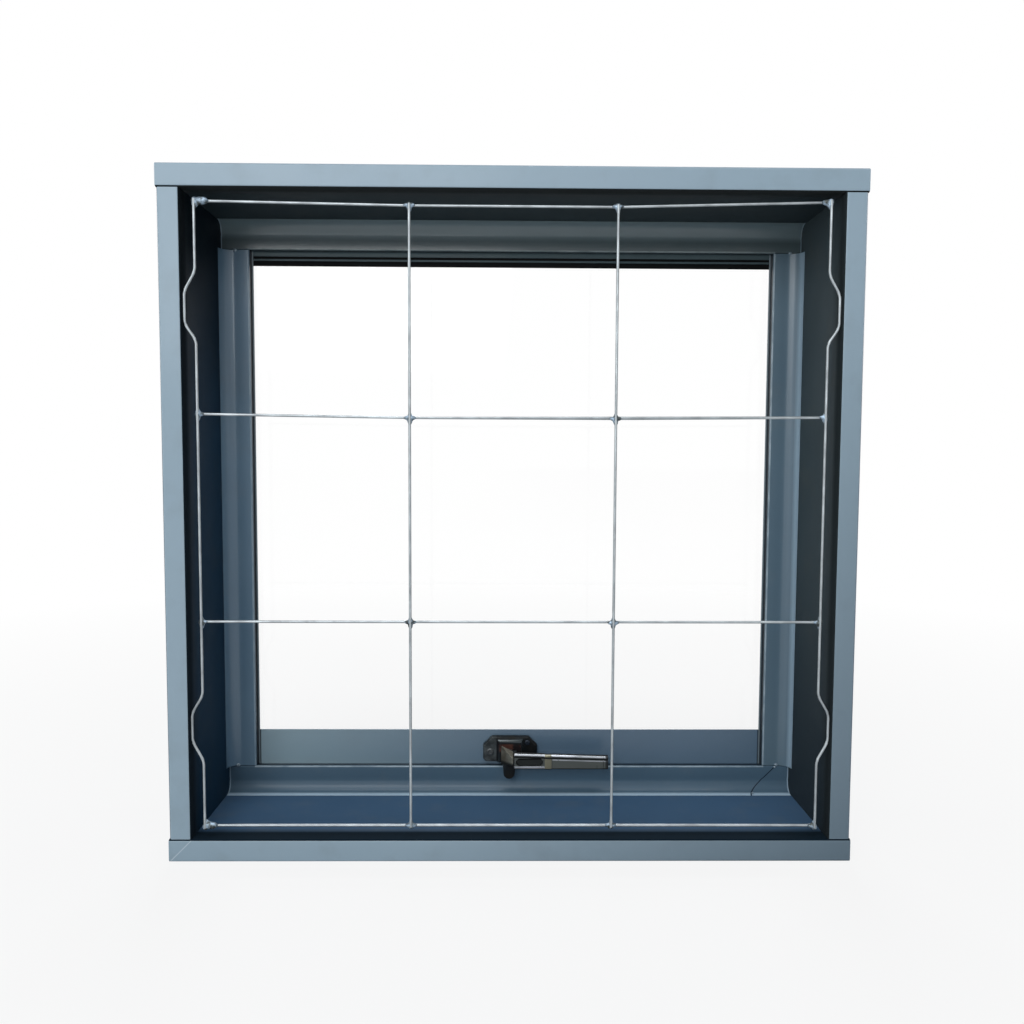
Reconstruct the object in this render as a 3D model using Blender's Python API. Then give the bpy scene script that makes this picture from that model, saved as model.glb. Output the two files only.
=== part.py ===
"""Steel tilt window: a folded frame with a fixed wire grille, a glazed top-hung sash and a cam handle.

Lengths are millimetres until a point is placed. X runs to the right seen from the room, Z up, and a
depth is counted from the room side of the frame towards the outside.
"""
import math

import bmesh
import bpy
from mathutils import Vector

MM = 0.001
SEAT_GAP = 0.3

# Frame
FRAME_WIDTH = 600.0
FRAME_HEIGHT = 600.0
FRAME_DEPTH = 140.0
FLANGE = 20.0
JAMB_SETBACK = 1.0
LIP = 15.0
SHEET = 1.2
BEND = 1.5

# Stops that the sash closes against
STOP_DEPTH = 110.0
STOP_WIDTH = 26.8
STOP_HOLLOW = 10.0
STOP_FEATHER = 0.2
STOP_CREASE = 12.8
STOP_CREASE_DEPTH = 0.7
STOP_CREASE_END = 16.0
STOP_HEM = 1.2
STOP_LEG = 7.0
SILL_STOP_INSET = 6.8

# Sash
SASH_RECESS = 8.0
SASH_FRONT = STOP_DEPTH + SASH_RECESS
SASH_THICKNESS = 20.0
SASH_GAP = 4.0
STILE_EDGE = 28.8
HEAD_RAIL_EDGE = 31.3
BOTTOM_RAIL_EDGE = 61.5
REBATE = 11.0
HEM_GAP = 0.6
SEAL_EDGE = 4.0
SEAL_WIDTH = 9.0

# Glazing
GASKET = 0.9
GLASS = 4.0
GLASS_CLEARANCE = 1.0
GASKET_SETBACK = 1.0
GASKET_LIP_HEAD = 9.0
INNER_BEAD_DROP = 2.4
INNER_BEAD_HEIGHT = 1.8
OUTER_BEAD_SETBACK = 6.2

# Friction stays beside the sash
STAY_LENGTH = 240.0
STAY_WIDTH = 16.0
STAY_TOP_GAP = 10.0

# Wire grille
WIRE = 2.8
WIRE_FRONT = 2.0
WIRE_OUTER = 268.9
WIRE_INNER = 88.3
WIRE_OVERHANG = 1.4
WIRE_BEND = 4.0
TAB_UPPER = (511.0, 494.7, 466.9, 453.5)
TAB_LOWER = (147.4, 132.0, 106.5, 89.4)
# Height between the inner uprights, and how much higher the left and the right end lie
LEVEL_WIRES = ((31.2, -0.7, -1.0), (212.2, -0.2, 0.4), (389.1, 2.3, 1.9), (567.6, 2.6, 5.2))

# Cam handle
PIVOT_X = -1.0
PIVOT_Z = 61.0
PLATE_WIDTH = 54.0
PLATE_BOTTOM = 50.8
PLATE_TOP = 75.9
PLATE_CORNER = 8.6
PLATE_LOW_CORNER = 2.6
PLATE_THICKNESS = 6.0
PLATE_EDGE = 1.2
HOUSING_LEFT = 11.6
HOUSING_RIGHT = 13.8
HOUSING_BOTTOM = 11.0
HOUSING_TOP = 12.8
HOUSING_HEIGHT = 6.0
HOUSING_DRAFT = 1.8
HANDLE_CLEARANCE = 5.2
PIN_RADIUS = 5.0
TONGUE_THICKNESS = 4.0
TONGUE_HALF = 7.4
TONGUE_TIP = 5.6
TONGUE_REACH = 22.6
TONGUE_TOP = 5.2
HUB_HEIGHT = 10.5
HUB_LEFT = 8.2
HUB_RIGHT = 4.0
HUB_BOTTOM = 8.0
HUB_TOP = 11.6
HUB_SHOULDER = 5.4
HUB_NOSE = 1.6
HUB_DRAFT = 3.0
LEVER_END = 95.6
LEVER_THICKNESS = 7.0
LEVER_TOP = 5.8
LEVER_BOTTOM = 9.2
LEVER_TAPER = 2.8
LEVER_CHAMFER = 1.2
RIDGE = 2.0
GROOVE = 1.4
GROOVE_DEPTH = 1.2
BOSS_START = 33.4
BOSS_END = 40.2
BOSS_RISE = 1.1
CAP_WIDTH = 4.2
CAP_GROOVE = 0.8
POCKET_LENGTH = 26.6
POCKET_BOTTOM = -6.0
POCKET_TOP = 1.8
POCKET_DEPTH = 3.4
POCKET_CORNER = 2.6
POCKET_MARGIN = 2.2
SCREW_HEIGHT = 0.8
SCREWS = (("handle_left_screw", -20.0, 60.7, 3.6), ("handle_right_screw", 17.2, 70.2, 2.6))

ARC_STEPS = 3
HOLLOW_STEPS = 6


def material(name, colour, roughness, metallic=0.0, alpha=1.0):
    """Returns a Principled material."""
    made = bpy.data.materials.new(name)
    made.use_nodes = True
    shader = made.node_tree.nodes["Principled BSDF"]
    shader.inputs["Base Color"].default_value = (*colour, 1.0)
    shader.inputs["Roughness"].default_value = roughness
    shader.inputs["Metallic"].default_value = metallic
    shader.inputs["Alpha"].default_value = alpha
    return made


def along_x(depth, height, run):
    """Places a point of a section that runs along X."""
    return Vector((run, depth - FRAME_DEPTH / 2, height)) * MM


def along_z(across, depth, run):
    """Places a point of a section that runs up."""
    return Vector((across, depth - FRAME_DEPTH / 2, run)) * MM


def along_depth(across, height, run):
    """Places a point of an outline that runs from the room to the outside."""
    return Vector((across, run - FRAME_DEPTH / 2, height)) * MM


def add_object(name, bm, finish):
    """Links a bmesh as a named object whose faces point outwards."""
    bmesh.ops.recalc_face_normals(bm, faces=bm.faces)
    mesh = bpy.data.meshes.new(name)
    bm.to_mesh(mesh)
    bm.free()
    mesh.materials.append(finish)
    made = bpy.data.objects.new(name, mesh)
    bpy.context.scene.collection.objects.link(made)
    return made


def extruded(bm, outline, place, start, end):
    """Extrudes a closed outline from start to end and returns its end face."""
    base = bm.faces.new([bm.verts.new(place(a, b, start)) for a, b in outline])
    grown = bmesh.ops.extrude_face_region(bm, geom=[base])["geom"]
    moved = [item for item in grown if isinstance(item, bmesh.types.BMVert)]
    bmesh.ops.translate(bm, vec=place(0, 0, end) - place(0, 0, start), verts=moved)
    return next(item for item in grown if isinstance(item, bmesh.types.BMFace))


def prism(name, outline, place, start, end, finish):
    """Makes one object from an outline extruded from start to end."""
    bm = bmesh.new()
    extruded(bm, outline, place, start, end)
    return add_object(name, bm, finish)


def rectangle(a0, b0, a1, b1):
    """Returns the corners of a rectangle."""
    return [(a0, b0), (a1, b0), (a1, b1), (a0, b1)]


def rounded_route(corners, radius):
    """Returns the points of an open route with an arc of the given radius in each corner."""
    points = [Vector(corners[0])]
    for before, corner, after in zip(corners, corners[1:], corners[2:]):
        corner = Vector(corner)
        back = (Vector(before) - corner).normalized()
        ahead = (Vector(after) - corner).normalized()
        half = back.angle(ahead) / 2
        if half > math.radians(89.9):
            continue
        centre = corner + (back + ahead).normalized() * radius / math.sin(half)
        first = corner + back * radius / math.tan(half) - centre
        last = corner + ahead * radius / math.tan(half) - centre
        turn = first.angle_signed(last)
        for step in range(ARC_STEPS + 1):
            angle = -turn * step / ARC_STEPS
            cosine, sine = math.cos(angle), math.sin(angle)
            spoke = Vector((first.x * cosine - first.y * sine, first.x * sine + first.y * cosine))
            points.append(centre + spoke)
    points.append(Vector(corners[-1]))
    return points


def folded(corners, sheet=SHEET, bend=BEND):
    """Returns the outline of a sheet folded along a centre line."""
    points = rounded_route(corners, bend)
    left, right = [], []
    for index, point in enumerate(points):
        before = points[max(index - 1, 0)]
        after = points[min(index + 1, len(points) - 1)]
        into = (point - before).normalized() if index else (after - point).normalized()
        out = (after - point).normalized() if index < len(points) - 1 else into
        normal = Vector((-(into + out).y, (into + out).x)).normalized()
        reach = sheet / 2 / max(normal.dot(Vector((-into.y, into.x))), 0.5)
        left.append(point + normal * reach)
        right.append(point - normal * reach)
    return [tuple(point) for point in left + right[::-1]]


def channel(flange):
    """Returns the frame's channel section as (depth, distance in from its outer face)."""
    near, far = SHEET / 2, FRAME_DEPTH - SHEET / 2
    floor = flange - SHEET / 2
    return folded([(LIP, near), (near, near), (near, floor), (far, floor), (far, near), (FRAME_DEPTH - LIP, near)])


def arc(centre_depth, centre_distance, radius, start, end, steps):
    """Returns points round a centre as (depth, distance), with the angles in degrees from the depth's direction."""
    points = []
    for step in range(steps + 1):
        angle = math.radians(start + (end - start) * step / steps)
        points.append((centre_depth + radius * math.cos(angle), centre_distance + radius * math.sin(angle)))
    return points


def stop_section():
    """Returns a stop's section as (depth, distance in from the frame's wall).

    The sheet leaves the wall in a hollow curve, has a crease, runs level to a rounded hem and turns back there.
    """
    middle = SEAT_GAP + STOP_FEATHER + STOP_HOLLOW
    start = STOP_DEPTH - STOP_HOLLOW
    leg, behind = STOP_DEPTH + STOP_LEG, STOP_DEPTH + SHEET
    outer = STOP_HOLLOW + SHEET
    reach = math.degrees(math.acos((STOP_HOLLOW + STOP_FEATHER) / outer))
    front = arc(start, middle, STOP_HOLLOW, -90, 0, HOLLOW_STEPS)
    front += [(STOP_DEPTH + STOP_CREASE_DEPTH, STOP_CREASE), (STOP_DEPTH, STOP_CREASE_END)]
    front += arc(STOP_DEPTH + STOP_HEM, STOP_WIDTH - STOP_HEM, STOP_HEM, 180, 90, ARC_STEPS)
    inside = STOP_WIDTH - SHEET
    back = [(leg, STOP_WIDTH), (leg, inside), (behind + SEAT_GAP, inside), (behind, inside - SEAT_GAP)]
    back += [(behind, STOP_CREASE_END), (behind + STOP_CREASE_DEPTH, STOP_CREASE)]
    back += arc(start, middle, outer, 0, reach - 90, HOLLOW_STEPS)
    return front + back + [(start, SEAT_GAP)]


def sash_section(width):
    """Returns a sash bar's section as (depth, distance in from its outer edge).

    The sheet folds into a tube, and its front runs on past the tube as the fin that the pane lies behind.
    """
    half = SHEET / 2
    front, back = SASH_FRONT + half, SASH_FRONT + SASH_THICKNESS - half
    leg = width - REBATE - half
    return folded([(front, width), (front, half), (back, half), (back, leg), (SASH_FRONT + SHEET + HEM_GAP, leg)])


def mirrored(outline, side):
    """Turns (depth, distance) into (across, depth), with the distance counted from a wall at side."""
    sign = math.copysign(1, side)
    return [(side - sign * distance, depth) for depth, distance in outline]


def lifted(outline, base, sign):
    """Counts the distances of (depth, distance) up or down from a base height."""
    return [(depth, base + sign * distance) for depth, distance in outline]


def ring(name, outer, inner, start, end, finish):
    """Makes a mitred rectangular ring from start depth to end depth; outer and inner are (x, low z, high z)."""
    bm = bmesh.new()
    loops = []
    for half, low, high in (outer, inner):
        corners = rectangle(-half, low, half, high)
        verts = [bm.verts.new(along_depth(a, b, start)) for a, b in corners]
        loops.append(verts)
    faces = [
        bm.faces.new((loops[0][i], loops[0][(i + 1) % 4], loops[1][(i + 1) % 4], loops[1][i])) for i in range(4)
    ]
    grown = bmesh.ops.extrude_face_region(bm, geom=faces)["geom"]
    moved = [item for item in grown if isinstance(item, bmesh.types.BMVert)]
    bmesh.ops.translate(bm, vec=along_depth(0, 0, end) - along_depth(0, 0, start), verts=moved)
    return add_object(name, bm, finish)


def lofted(name, sections, place, finish):
    """Makes one object through sections of as many points each, given as (run, outline)."""
    bm = bmesh.new()
    loops = [[bm.verts.new(place(a, b, run)) for a, b in outline] for run, outline in sections]
    for near, far in zip(loops, loops[1:]):
        for index, corner in enumerate(near):
            following = (index + 1) % len(near)
            bm.faces.new((corner, near[following], far[following], far[index]))
    bm.faces.new(loops[0])
    bm.faces.new(loops[-1])
    return add_object(name, bm, finish)


def chamfered(a0, b0, a1, b1, corner, low_corner):
    """Returns the eight points of a rectangle with cut corners, those at b0 cut by low_corner."""
    return [
        (a1 - low_corner, b0),
        (a1, b0 + low_corner),
        (a1, b1 - corner),
        (a1 - corner, b1),
        (a0 + corner, b1),
        (a0, b1 - corner),
        (a0, b0 + low_corner),
        (a0 + low_corner, b0),
    ]


def disc(name, x, z, radius, start, end, finish, sides=24):
    """Makes a round piece whose axis runs through the window."""
    outline = [
        (x + radius * math.cos(math.tau * i / sides), z + radius * math.sin(math.tau * i / sides))
        for i in range(sides)
    ]
    made = prism(name, outline, along_depth, start, end, finish)
    made.data.shade_smooth()
    made.data.set_sharp_from_angle(angle=math.radians(40))
    return made


def wire(name, points, finish):
    """Makes a round wire along points in space, in millimetres."""
    curve = bpy.data.curves.new(name, "CURVE")
    curve.dimensions = "3D"
    curve.bevel_depth = WIRE / 2 * MM
    curve.bevel_resolution = 4
    curve.use_fill_caps = True
    spline = curve.splines.new("POLY")
    spline.points.add(len(points) - 1)
    for point, place in zip(spline.points, points):
        point.co = (*(Vector(place) * MM), 1.0)
    curve.materials.append(finish)
    made = bpy.data.objects.new(name, curve)
    bpy.context.scene.collection.objects.link(made)
    return made


def cut_by(target, bm, name):
    """Cuts a closed bmesh out of an object."""
    cutter = add_object(name, bm, target.data.materials[0])
    cutter.hide_render = True
    cutter.display_type = "WIRE"
    modifier = target.modifiers.new(name, "BOOLEAN")
    modifier.operation = "DIFFERENCE"
    modifier.object = cutter


def build_frame(paint):
    """Four folded channels: head and sill run full width, the jambs stand between them."""
    half = FRAME_WIDTH / 2
    section = channel(FLANGE)
    prism("sill_frame", lifted(section, 0, 1), along_x, -half, half, paint)
    prism("head_frame", lifted(section, FRAME_HEIGHT, -1), along_x, -half, half, paint)
    jamb = channel(FLANGE - JAMB_SETBACK)
    low, high = FLANGE + SEAT_GAP, FRAME_HEIGHT - FLANGE - SEAT_GAP
    for name, side in (("left_jamb", -1), ("right_jamb", 1)):
        prism(name, mirrored(jamb, side * (half - JAMB_SETBACK)), along_z, low, high, paint)


def build_stops(paint):
    """Folded stops: the head stop from wall to wall, the sill stop between the side stops' hollow curves."""
    wall = FRAME_WIDTH / 2 - FLANGE
    low, high = FLANGE, FRAME_HEIGHT - FLANGE
    section = stop_section()
    sill_end, head_end = wall - SILL_STOP_INSET, wall - SEAT_GAP
    prism("sill_stop", lifted(section, low, 1), along_x, -sill_end, sill_end, paint)
    prism("head_stop", lifted(section, high, -1), along_x, -head_end, head_end, paint)
    foot, top = low + SEAT_GAP, high - STOP_WIDTH - SEAT_GAP
    notch_top = low + STOP_WIDTH + SEAT_GAP
    for name, side in (("left_stop", -1), ("right_stop", 1)):
        stop = prism(name, mirrored(section, side * wall), along_z, foot, top, paint)
        bm = bmesh.new()
        notch = rectangle(side * (sill_end + SEAT_GAP), foot - 1, side * (wall - STOP_WIDTH - 1), notch_top)
        extruded(bm, notch, along_depth, STOP_DEPTH - STOP_HOLLOW - 1, STOP_DEPTH + STOP_LEG + 1)
        cut_by(stop, bm, name + "_notch")


def build_sash(paint, rubber, steel):
    """The sash: full-height stiles, rails scribed over them, the weather seal and the friction stays."""
    outer = FRAME_WIDTH / 2 - FLANGE - SASH_GAP
    low = FLANGE + SASH_GAP
    high = FRAME_HEIGHT - FLANGE - SASH_GAP
    stile = STILE_EDGE - SASH_GAP
    for name, side in (("sash_left_stile", -1), ("sash_right_stile", 1)):
        prism(name, mirrored(sash_section(stile), side * outer), along_z, low, high, paint)

    front_end = outer - stile - SEAT_GAP
    back_end = front_end + REBATE
    notch_back = SASH_FRONT + SHEET + SEAT_GAP
    rails = (
        ("sash_bottom_rail", low, 1, BOTTOM_RAIL_EDGE - SASH_GAP),
        ("sash_head_rail", high, -1, HEAD_RAIL_EDGE - SASH_GAP),
    )
    for name, base, sign, width in rails:
        rail = prism(name, lifted(sash_section(width), base, sign), along_x, -back_end, back_end, paint)
        bm = bmesh.new()
        for side in (-1, 1):
            notch = rectangle(SASH_FRONT - 1, base - sign, notch_back, base + sign * (width + 1))
            extruded(bm, notch, along_x, side * front_end, side * (back_end + 1))
        cut_by(rail, bm, name + "_notches")

    seal_front = STOP_DEPTH + STOP_CREASE_DEPTH + SHEET + SEAT_GAP
    seal = [seal_front, SEAL_EDGE, SASH_FRONT - SEAT_GAP, SEAL_EDGE + SEAL_WIDTH]
    wall = FRAME_WIDTH / 2 - FLANGE
    for name, base, sign in (("sill_seal", FLANGE, 1), ("head_seal", FRAME_HEIGHT - FLANGE, -1)):
        prism(name, lifted(rectangle(*seal), base, sign), along_x, -outer, outer, rubber)
    foot = FLANGE + STOP_WIDTH + SEAT_GAP
    head = FRAME_HEIGHT - FLANGE - STOP_WIDTH - SEAT_GAP
    for name, side in (("left_seal", -1), ("right_seal", 1)):
        section = mirrored(rectangle(*seal), side * wall)
        prism(name, section, along_z, foot, head, rubber)

    middle = SASH_FRONT + SASH_THICKNESS / 2
    top = high - STAY_TOP_GAP
    for name, side in (("left_stay", -1), ("right_stay", 1)):
        near, far = side * (outer + SEAT_GAP), side * (outer + SASH_GAP - SEAT_GAP)
        section = rectangle(near, middle - STAY_WIDTH / 2, far, middle + STAY_WIDTH / 2)
        prism(name, section, along_z, top - STAY_LENGTH, top, steel)


def build_glazing(paint, rubber, glass):
    """The pane, its inner gasket, the strip under the head rail and the outer glazing beads."""
    half = FRAME_WIDTH / 2 - FLANGE - STILE_EDGE
    low = FLANGE + BOTTOM_RAIL_EDGE
    high = FRAME_HEIGHT - FLANGE - HEAD_RAIL_EDGE
    cover = REBATE - GLASS_CLEARANCE
    gasket_front = SASH_FRONT + SHEET + SEAT_GAP
    glass_front = gasket_front + GASKET + SEAT_GAP
    glass_back = glass_front + GLASS
    pane = (half + cover, low - cover, high + cover)
    ring(
        "inner_gasket",
        pane,
        (half + GASKET_SETBACK, low - GASKET_SETBACK, high - GASKET_LIP_HEAD),
        gasket_front,
        gasket_front + GASKET,
        rubber,
    )
    outline = rectangle(-pane[0], pane[1], pane[0], pane[2])
    prism("glass_pane", outline, along_depth, glass_front, glass_back, glass)

    bead_top = high - INNER_BEAD_DROP
    strip = rectangle(SASH_FRONT, bead_top, SASH_FRONT + SHEET, bead_top - INNER_BEAD_HEIGHT)
    prism("head_inner_bead", strip, along_x, SEAT_GAP - half, half - SEAT_GAP, paint)

    bead_front, bead_back = glass_back + SEAT_GAP, SASH_FRONT + SASH_THICKNESS
    reach = REBATE - SEAT_GAP
    inner = half + OUTER_BEAD_SETBACK
    for name, side in (("left_bead", -1), ("right_bead", 1)):
        section = rectangle(side * inner, bead_front, side * (half + reach), bead_back)
        prism(name, section, along_z, low - reach, high + reach, paint)
    for name, base, sign in (("bottom_bead", low, -1), ("head_bead", high, 1)):
        section = rectangle(bead_front, base + sign * OUTER_BEAD_SETBACK, bead_back, base + sign * reach)
        prism(name, section, along_x, SEAT_GAP - inner, inner - SEAT_GAP, paint)


def level_height(level, across):
    """Returns the height of a level wire at a place across the window."""
    height, left_rise, right_rise = level
    rise = left_rise if across < 0 else right_rise
    share = (abs(across) - WIRE_INNER) / (WIRE_OUTER - WIRE_INNER)
    return height + rise * max(share, 0)


def build_grille(galvanised):
    """Four upright and four level wires; the outer uprights bow out to tabs on the jamb walls."""
    upright_depth = WIRE_FRONT + WIRE / 2 - FRAME_DEPTH / 2
    level_depth = upright_depth + WIRE + SEAT_GAP
    tab = FRAME_WIDTH / 2 - FLANGE - SEAT_GAP - WIRE / 2
    for index, x in enumerate((-WIRE_OUTER, -WIRE_INNER, WIRE_INNER, WIRE_OUTER)):
        top = level_height(LEVEL_WIRES[-1], x) + WIRE_OVERHANG
        bottom = level_height(LEVEL_WIRES[0], x) - WIRE_OVERHANG
        route = [(x, top), (x, bottom)]
        if abs(x) == WIRE_OUTER:
            out = math.copysign(tab, x)
            bows = []
            for start, flat_top, flat_bottom, end in (TAB_UPPER, TAB_LOWER):
                bows += [(x, start), (out, flat_top), (out, flat_bottom), (x, end)]
            route = rounded_route([route[0], *bows, route[1]], WIRE_BEND)
        wire(f"grille_upright_{index + 1}", [(across, upright_depth, up) for across, up in route], galvanised)
    end = WIRE_OUTER + WIRE_OVERHANG
    for index, level in enumerate(LEVEL_WIRES):
        points = [(x, level_depth, level_height(level, x)) for x in (-end, -WIRE_INNER, WIRE_INNER, end)]
        wire(f"grille_level_{index + 1}", points, galvanised)


def lever_section(run, front):
    """Returns the lever's section at a place along X, as (depth, height), with a ridge along its top."""
    share = (run - PIVOT_X) / (LEVER_END - PIVOT_X)
    top = PIVOT_Z + LEVER_TOP - LEVER_TAPER * share
    bottom = PIVOT_Z - LEVER_BOTTOM
    face_top = top - RIDGE - GROOVE
    floor = front + GROOVE_DEPTH
    back = front + LEVER_THICKNESS
    return [
        (back, bottom + LEVER_CHAMFER),
        (back - LEVER_CHAMFER, bottom),
        (front + LEVER_CHAMFER, bottom),
        (front, bottom + LEVER_CHAMFER),
        (front, face_top),
        (floor, face_top - LEVER_CHAMFER / 2 + GROOVE / 2),
        (floor, top - RIDGE),
        (front + LEVER_CHAMFER / 2, top - RIDGE / 2),
        (front + LEVER_CHAMFER, top),
        (back, top),
    ]


def build_lever(front, black_start, dark):
    """The lever: lofted along X from its root over a raised boss to the grip and its end cap, with a pocket."""
    cap = LEVER_END - CAP_WIDTH
    stations = (
        (black_start, 0),
        (BOSS_START - 1, 0),
        (BOSS_START, -BOSS_RISE / 2),
        ((BOSS_START + BOSS_END) / 2, -BOSS_RISE),
        (BOSS_END, -BOSS_RISE / 2),
        (BOSS_END + 1, 0),
        (cap - CAP_GROOVE, 0),
        (cap - CAP_GROOVE / 2, CAP_GROOVE),
        (cap, 0),
        (LEVER_END - LEVER_CHAMFER, 0),
        (LEVER_END, LEVER_CHAMFER),
    )
    sections = [(run, lever_section(run, front + sunk)) for run, sunk in stations]
    lever = lofted("handle_lever", sections, along_x, dark)
    start = black_start + POCKET_MARGIN
    low, high = PIVOT_Z + POCKET_BOTTOM, PIVOT_Z + POCKET_TOP
    pocket = chamfered(start, low, start + POCKET_LENGTH, high, POCKET_CORNER, POCKET_CORNER)
    bm = bmesh.new()
    extruded(bm, pocket, along_depth, front - 1, front + POCKET_DEPTH)
    cut_by(lever, bm, "lever_pocket")


def build_handle(black, dark, steel):
    """The cam handle: a fixed base on the bottom rail, and a lever with its tongue on a pin."""
    plate_back = SASH_FRONT - SEAT_GAP
    plate_front = plate_back - PLATE_THICKNESS
    housing_front = plate_front - HOUSING_HEIGHT
    half = PLATE_WIDTH / 2
    bm = bmesh.new()
    plate = chamfered(-half, PLATE_BOTTOM, half, PLATE_TOP, PLATE_CORNER, PLATE_LOW_CORNER)
    front = extruded(bm, plate, along_depth, plate_back, plate_front + PLATE_EDGE)
    bmesh.ops.inset_region(bm, faces=[front], thickness=PLATE_EDGE * MM)
    bmesh.ops.translate(bm, vec=(0, -PLATE_EDGE * MM, 0), verts=front.verts)
    base = add_object("handle_base", bm, black)

    left, right = PIVOT_X - HOUSING_LEFT, PIVOT_X + HOUSING_RIGHT
    low, high = PIVOT_Z - HOUSING_BOTTOM, PIVOT_Z + HOUSING_TOP
    draft = HOUSING_DRAFT
    foot = rectangle(left, low, right, high)
    face = rectangle(left + draft, low + draft, right - draft, high - draft)
    housing = lofted(
        "handle_housing_form", ((plate_front + 1, foot), (plate_front, foot), (housing_front, face)), along_depth, black
    )
    housing.hide_render = True
    housing.display_type = "WIRE"
    joined = base.modifiers.new("housing", "BOOLEAN")
    joined.operation = "UNION"
    joined.object = housing

    for name, x, z, radius in SCREWS:
        disc(name, x, z, radius, plate_front - SEAT_GAP, plate_front - SEAT_GAP - SCREW_HEIGHT, steel)

    tongue_back = housing_front - HANDLE_CLEARANCE
    tongue_front = tongue_back - TONGUE_THICKNESS
    disc("handle_pin", PIVOT_X, PIVOT_Z, PIN_RADIUS, housing_front - SEAT_GAP, tongue_back + SEAT_GAP, steel)
    tip = PIVOT_Z - TONGUE_REACH + TONGUE_TIP
    outline = [(PIVOT_X + TONGUE_HALF, PIVOT_Z + TONGUE_TOP), (PIVOT_X - TONGUE_HALF, PIVOT_Z + TONGUE_TOP)]
    for step in range(9):
        angle = math.pi * (1 + step / 8)
        outline.append((PIVOT_X + TONGUE_TIP * math.cos(angle), tip + TONGUE_TIP * math.sin(angle)))
    prism("handle_tongue", outline, along_depth, tongue_back, tongue_front, black)

    hub_back = tongue_front - SEAT_GAP
    hub_front = hub_back - HUB_HEIGHT
    right = PIVOT_X + HUB_RIGHT
    left, low = PIVOT_X - HUB_LEFT, PIVOT_Z - HUB_BOTTOM
    shoulder = PIVOT_Z + HUB_SHOULDER
    foot = [(left, low), (right, low), (right, shoulder), (left, PIVOT_Z + HUB_TOP)]
    nose = rectangle(right - HUB_NOSE, low + HUB_DRAFT, right, shoulder - HUB_DRAFT)
    lofted("handle_hub", ((hub_back, foot), (hub_front, nose)), along_depth, black)
    build_lever(hub_front, right + SEAT_GAP, dark)


def build():
    """Builds the whole window in an empty scene."""
    for old in list(bpy.data.objects):
        bpy.data.objects.remove(old, do_unlink=True)
    paint = material("grey_paint", (0.165, 0.235, 0.29), 0.38)
    galvanised = material("galvanised_wire", (0.52, 0.51, 0.50), 0.45, metallic=0.6)
    rubber = material("black_rubber", (0.012, 0.013, 0.014), 0.7)
    glass = material("clear_glass", (0.9, 0.96, 0.94), 0.03, alpha=0.2)
    steel = material("bright_steel", (0.42, 0.42, 0.42), 0.35, metallic=0.9)
    black = material("black_casting", (0.03, 0.033, 0.033), 0.4)
    dark = material("dark_lever", (0.06, 0.065, 0.068), 0.33)
    build_frame(paint)
    build_stops(paint)
    build_sash(paint, rubber, steel)
    build_glazing(paint, rubber, glass)
    build_grille(galvanised)
    build_handle(black, dark, steel)


build()
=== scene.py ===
"""Looks of the steel tilt window: paint, wire, rubber, glass and castings, seen from the photograph's place.

Sizes are in metres, written as millimetres times MM. A height is above the window's foot, a depth runs outwards from
the middle of its frame, and a colour is what the display shows, 0 to 255.
"""
from __future__ import annotations

import logging
import math
import random
from dataclasses import dataclass, field
from enum import Enum
from typing import Callable, ClassVar, Iterable

import bmesh
import bpy
from mathutils import Matrix, Vector, noise

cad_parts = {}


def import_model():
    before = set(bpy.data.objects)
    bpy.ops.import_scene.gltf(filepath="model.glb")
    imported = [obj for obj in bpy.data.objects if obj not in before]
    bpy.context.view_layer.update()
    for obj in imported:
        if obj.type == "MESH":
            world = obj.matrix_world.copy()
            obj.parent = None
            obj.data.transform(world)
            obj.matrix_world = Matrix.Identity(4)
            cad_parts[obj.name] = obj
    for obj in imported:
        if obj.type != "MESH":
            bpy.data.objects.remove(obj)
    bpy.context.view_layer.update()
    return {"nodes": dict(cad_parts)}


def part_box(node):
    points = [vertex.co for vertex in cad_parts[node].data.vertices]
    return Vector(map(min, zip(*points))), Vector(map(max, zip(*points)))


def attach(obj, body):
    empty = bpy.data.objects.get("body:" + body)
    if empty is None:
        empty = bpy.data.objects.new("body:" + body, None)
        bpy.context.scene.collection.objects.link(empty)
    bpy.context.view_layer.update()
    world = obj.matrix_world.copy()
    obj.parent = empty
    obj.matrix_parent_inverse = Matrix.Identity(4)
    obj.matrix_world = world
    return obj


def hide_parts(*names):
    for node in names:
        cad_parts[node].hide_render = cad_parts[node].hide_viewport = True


log = logging.getLogger("tilt_window")

MM = 0.001
MIDDLE_HEIGHT = 300.0 * MM
LUMP_CREASE = 80.0

Colour = tuple[float, float, float]
Place = tuple[float, float, float]
Span = tuple[float, float]
Socket = bpy.types.NodeSocket


class Body(Enum):
    """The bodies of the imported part."""

    WINDOW = "window"
    HANDLE = "handle"


class Light(Enum):
    """What a lamp is for."""

    KEY = "key"
    LEFT = "left"
    RIGHT = "right"
    TOP = "top"
    OUTSIDE = "outside"
    LEFT_SIDE = "left side"
    RIGHT_SIDE = "right side"


def linear(colour: Colour) -> tuple[float, float, float, float]:
    """Turns a display colour into the linear colour that a shader takes.

    Args:
        colour: Red, green and blue, 0 to 255.

    Returns:
        The linear colour with an alpha of 1.
    """

    def channel(value: float) -> float:
        """Undoes the display curve of one channel."""
        share = value / 255
        return share / 12.92 if share <= 0.04045 else ((share + 0.055) / 1.055) ** 2.4

    red, green, blue = colour
    return channel(red), channel(green), channel(blue), 1.0


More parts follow.
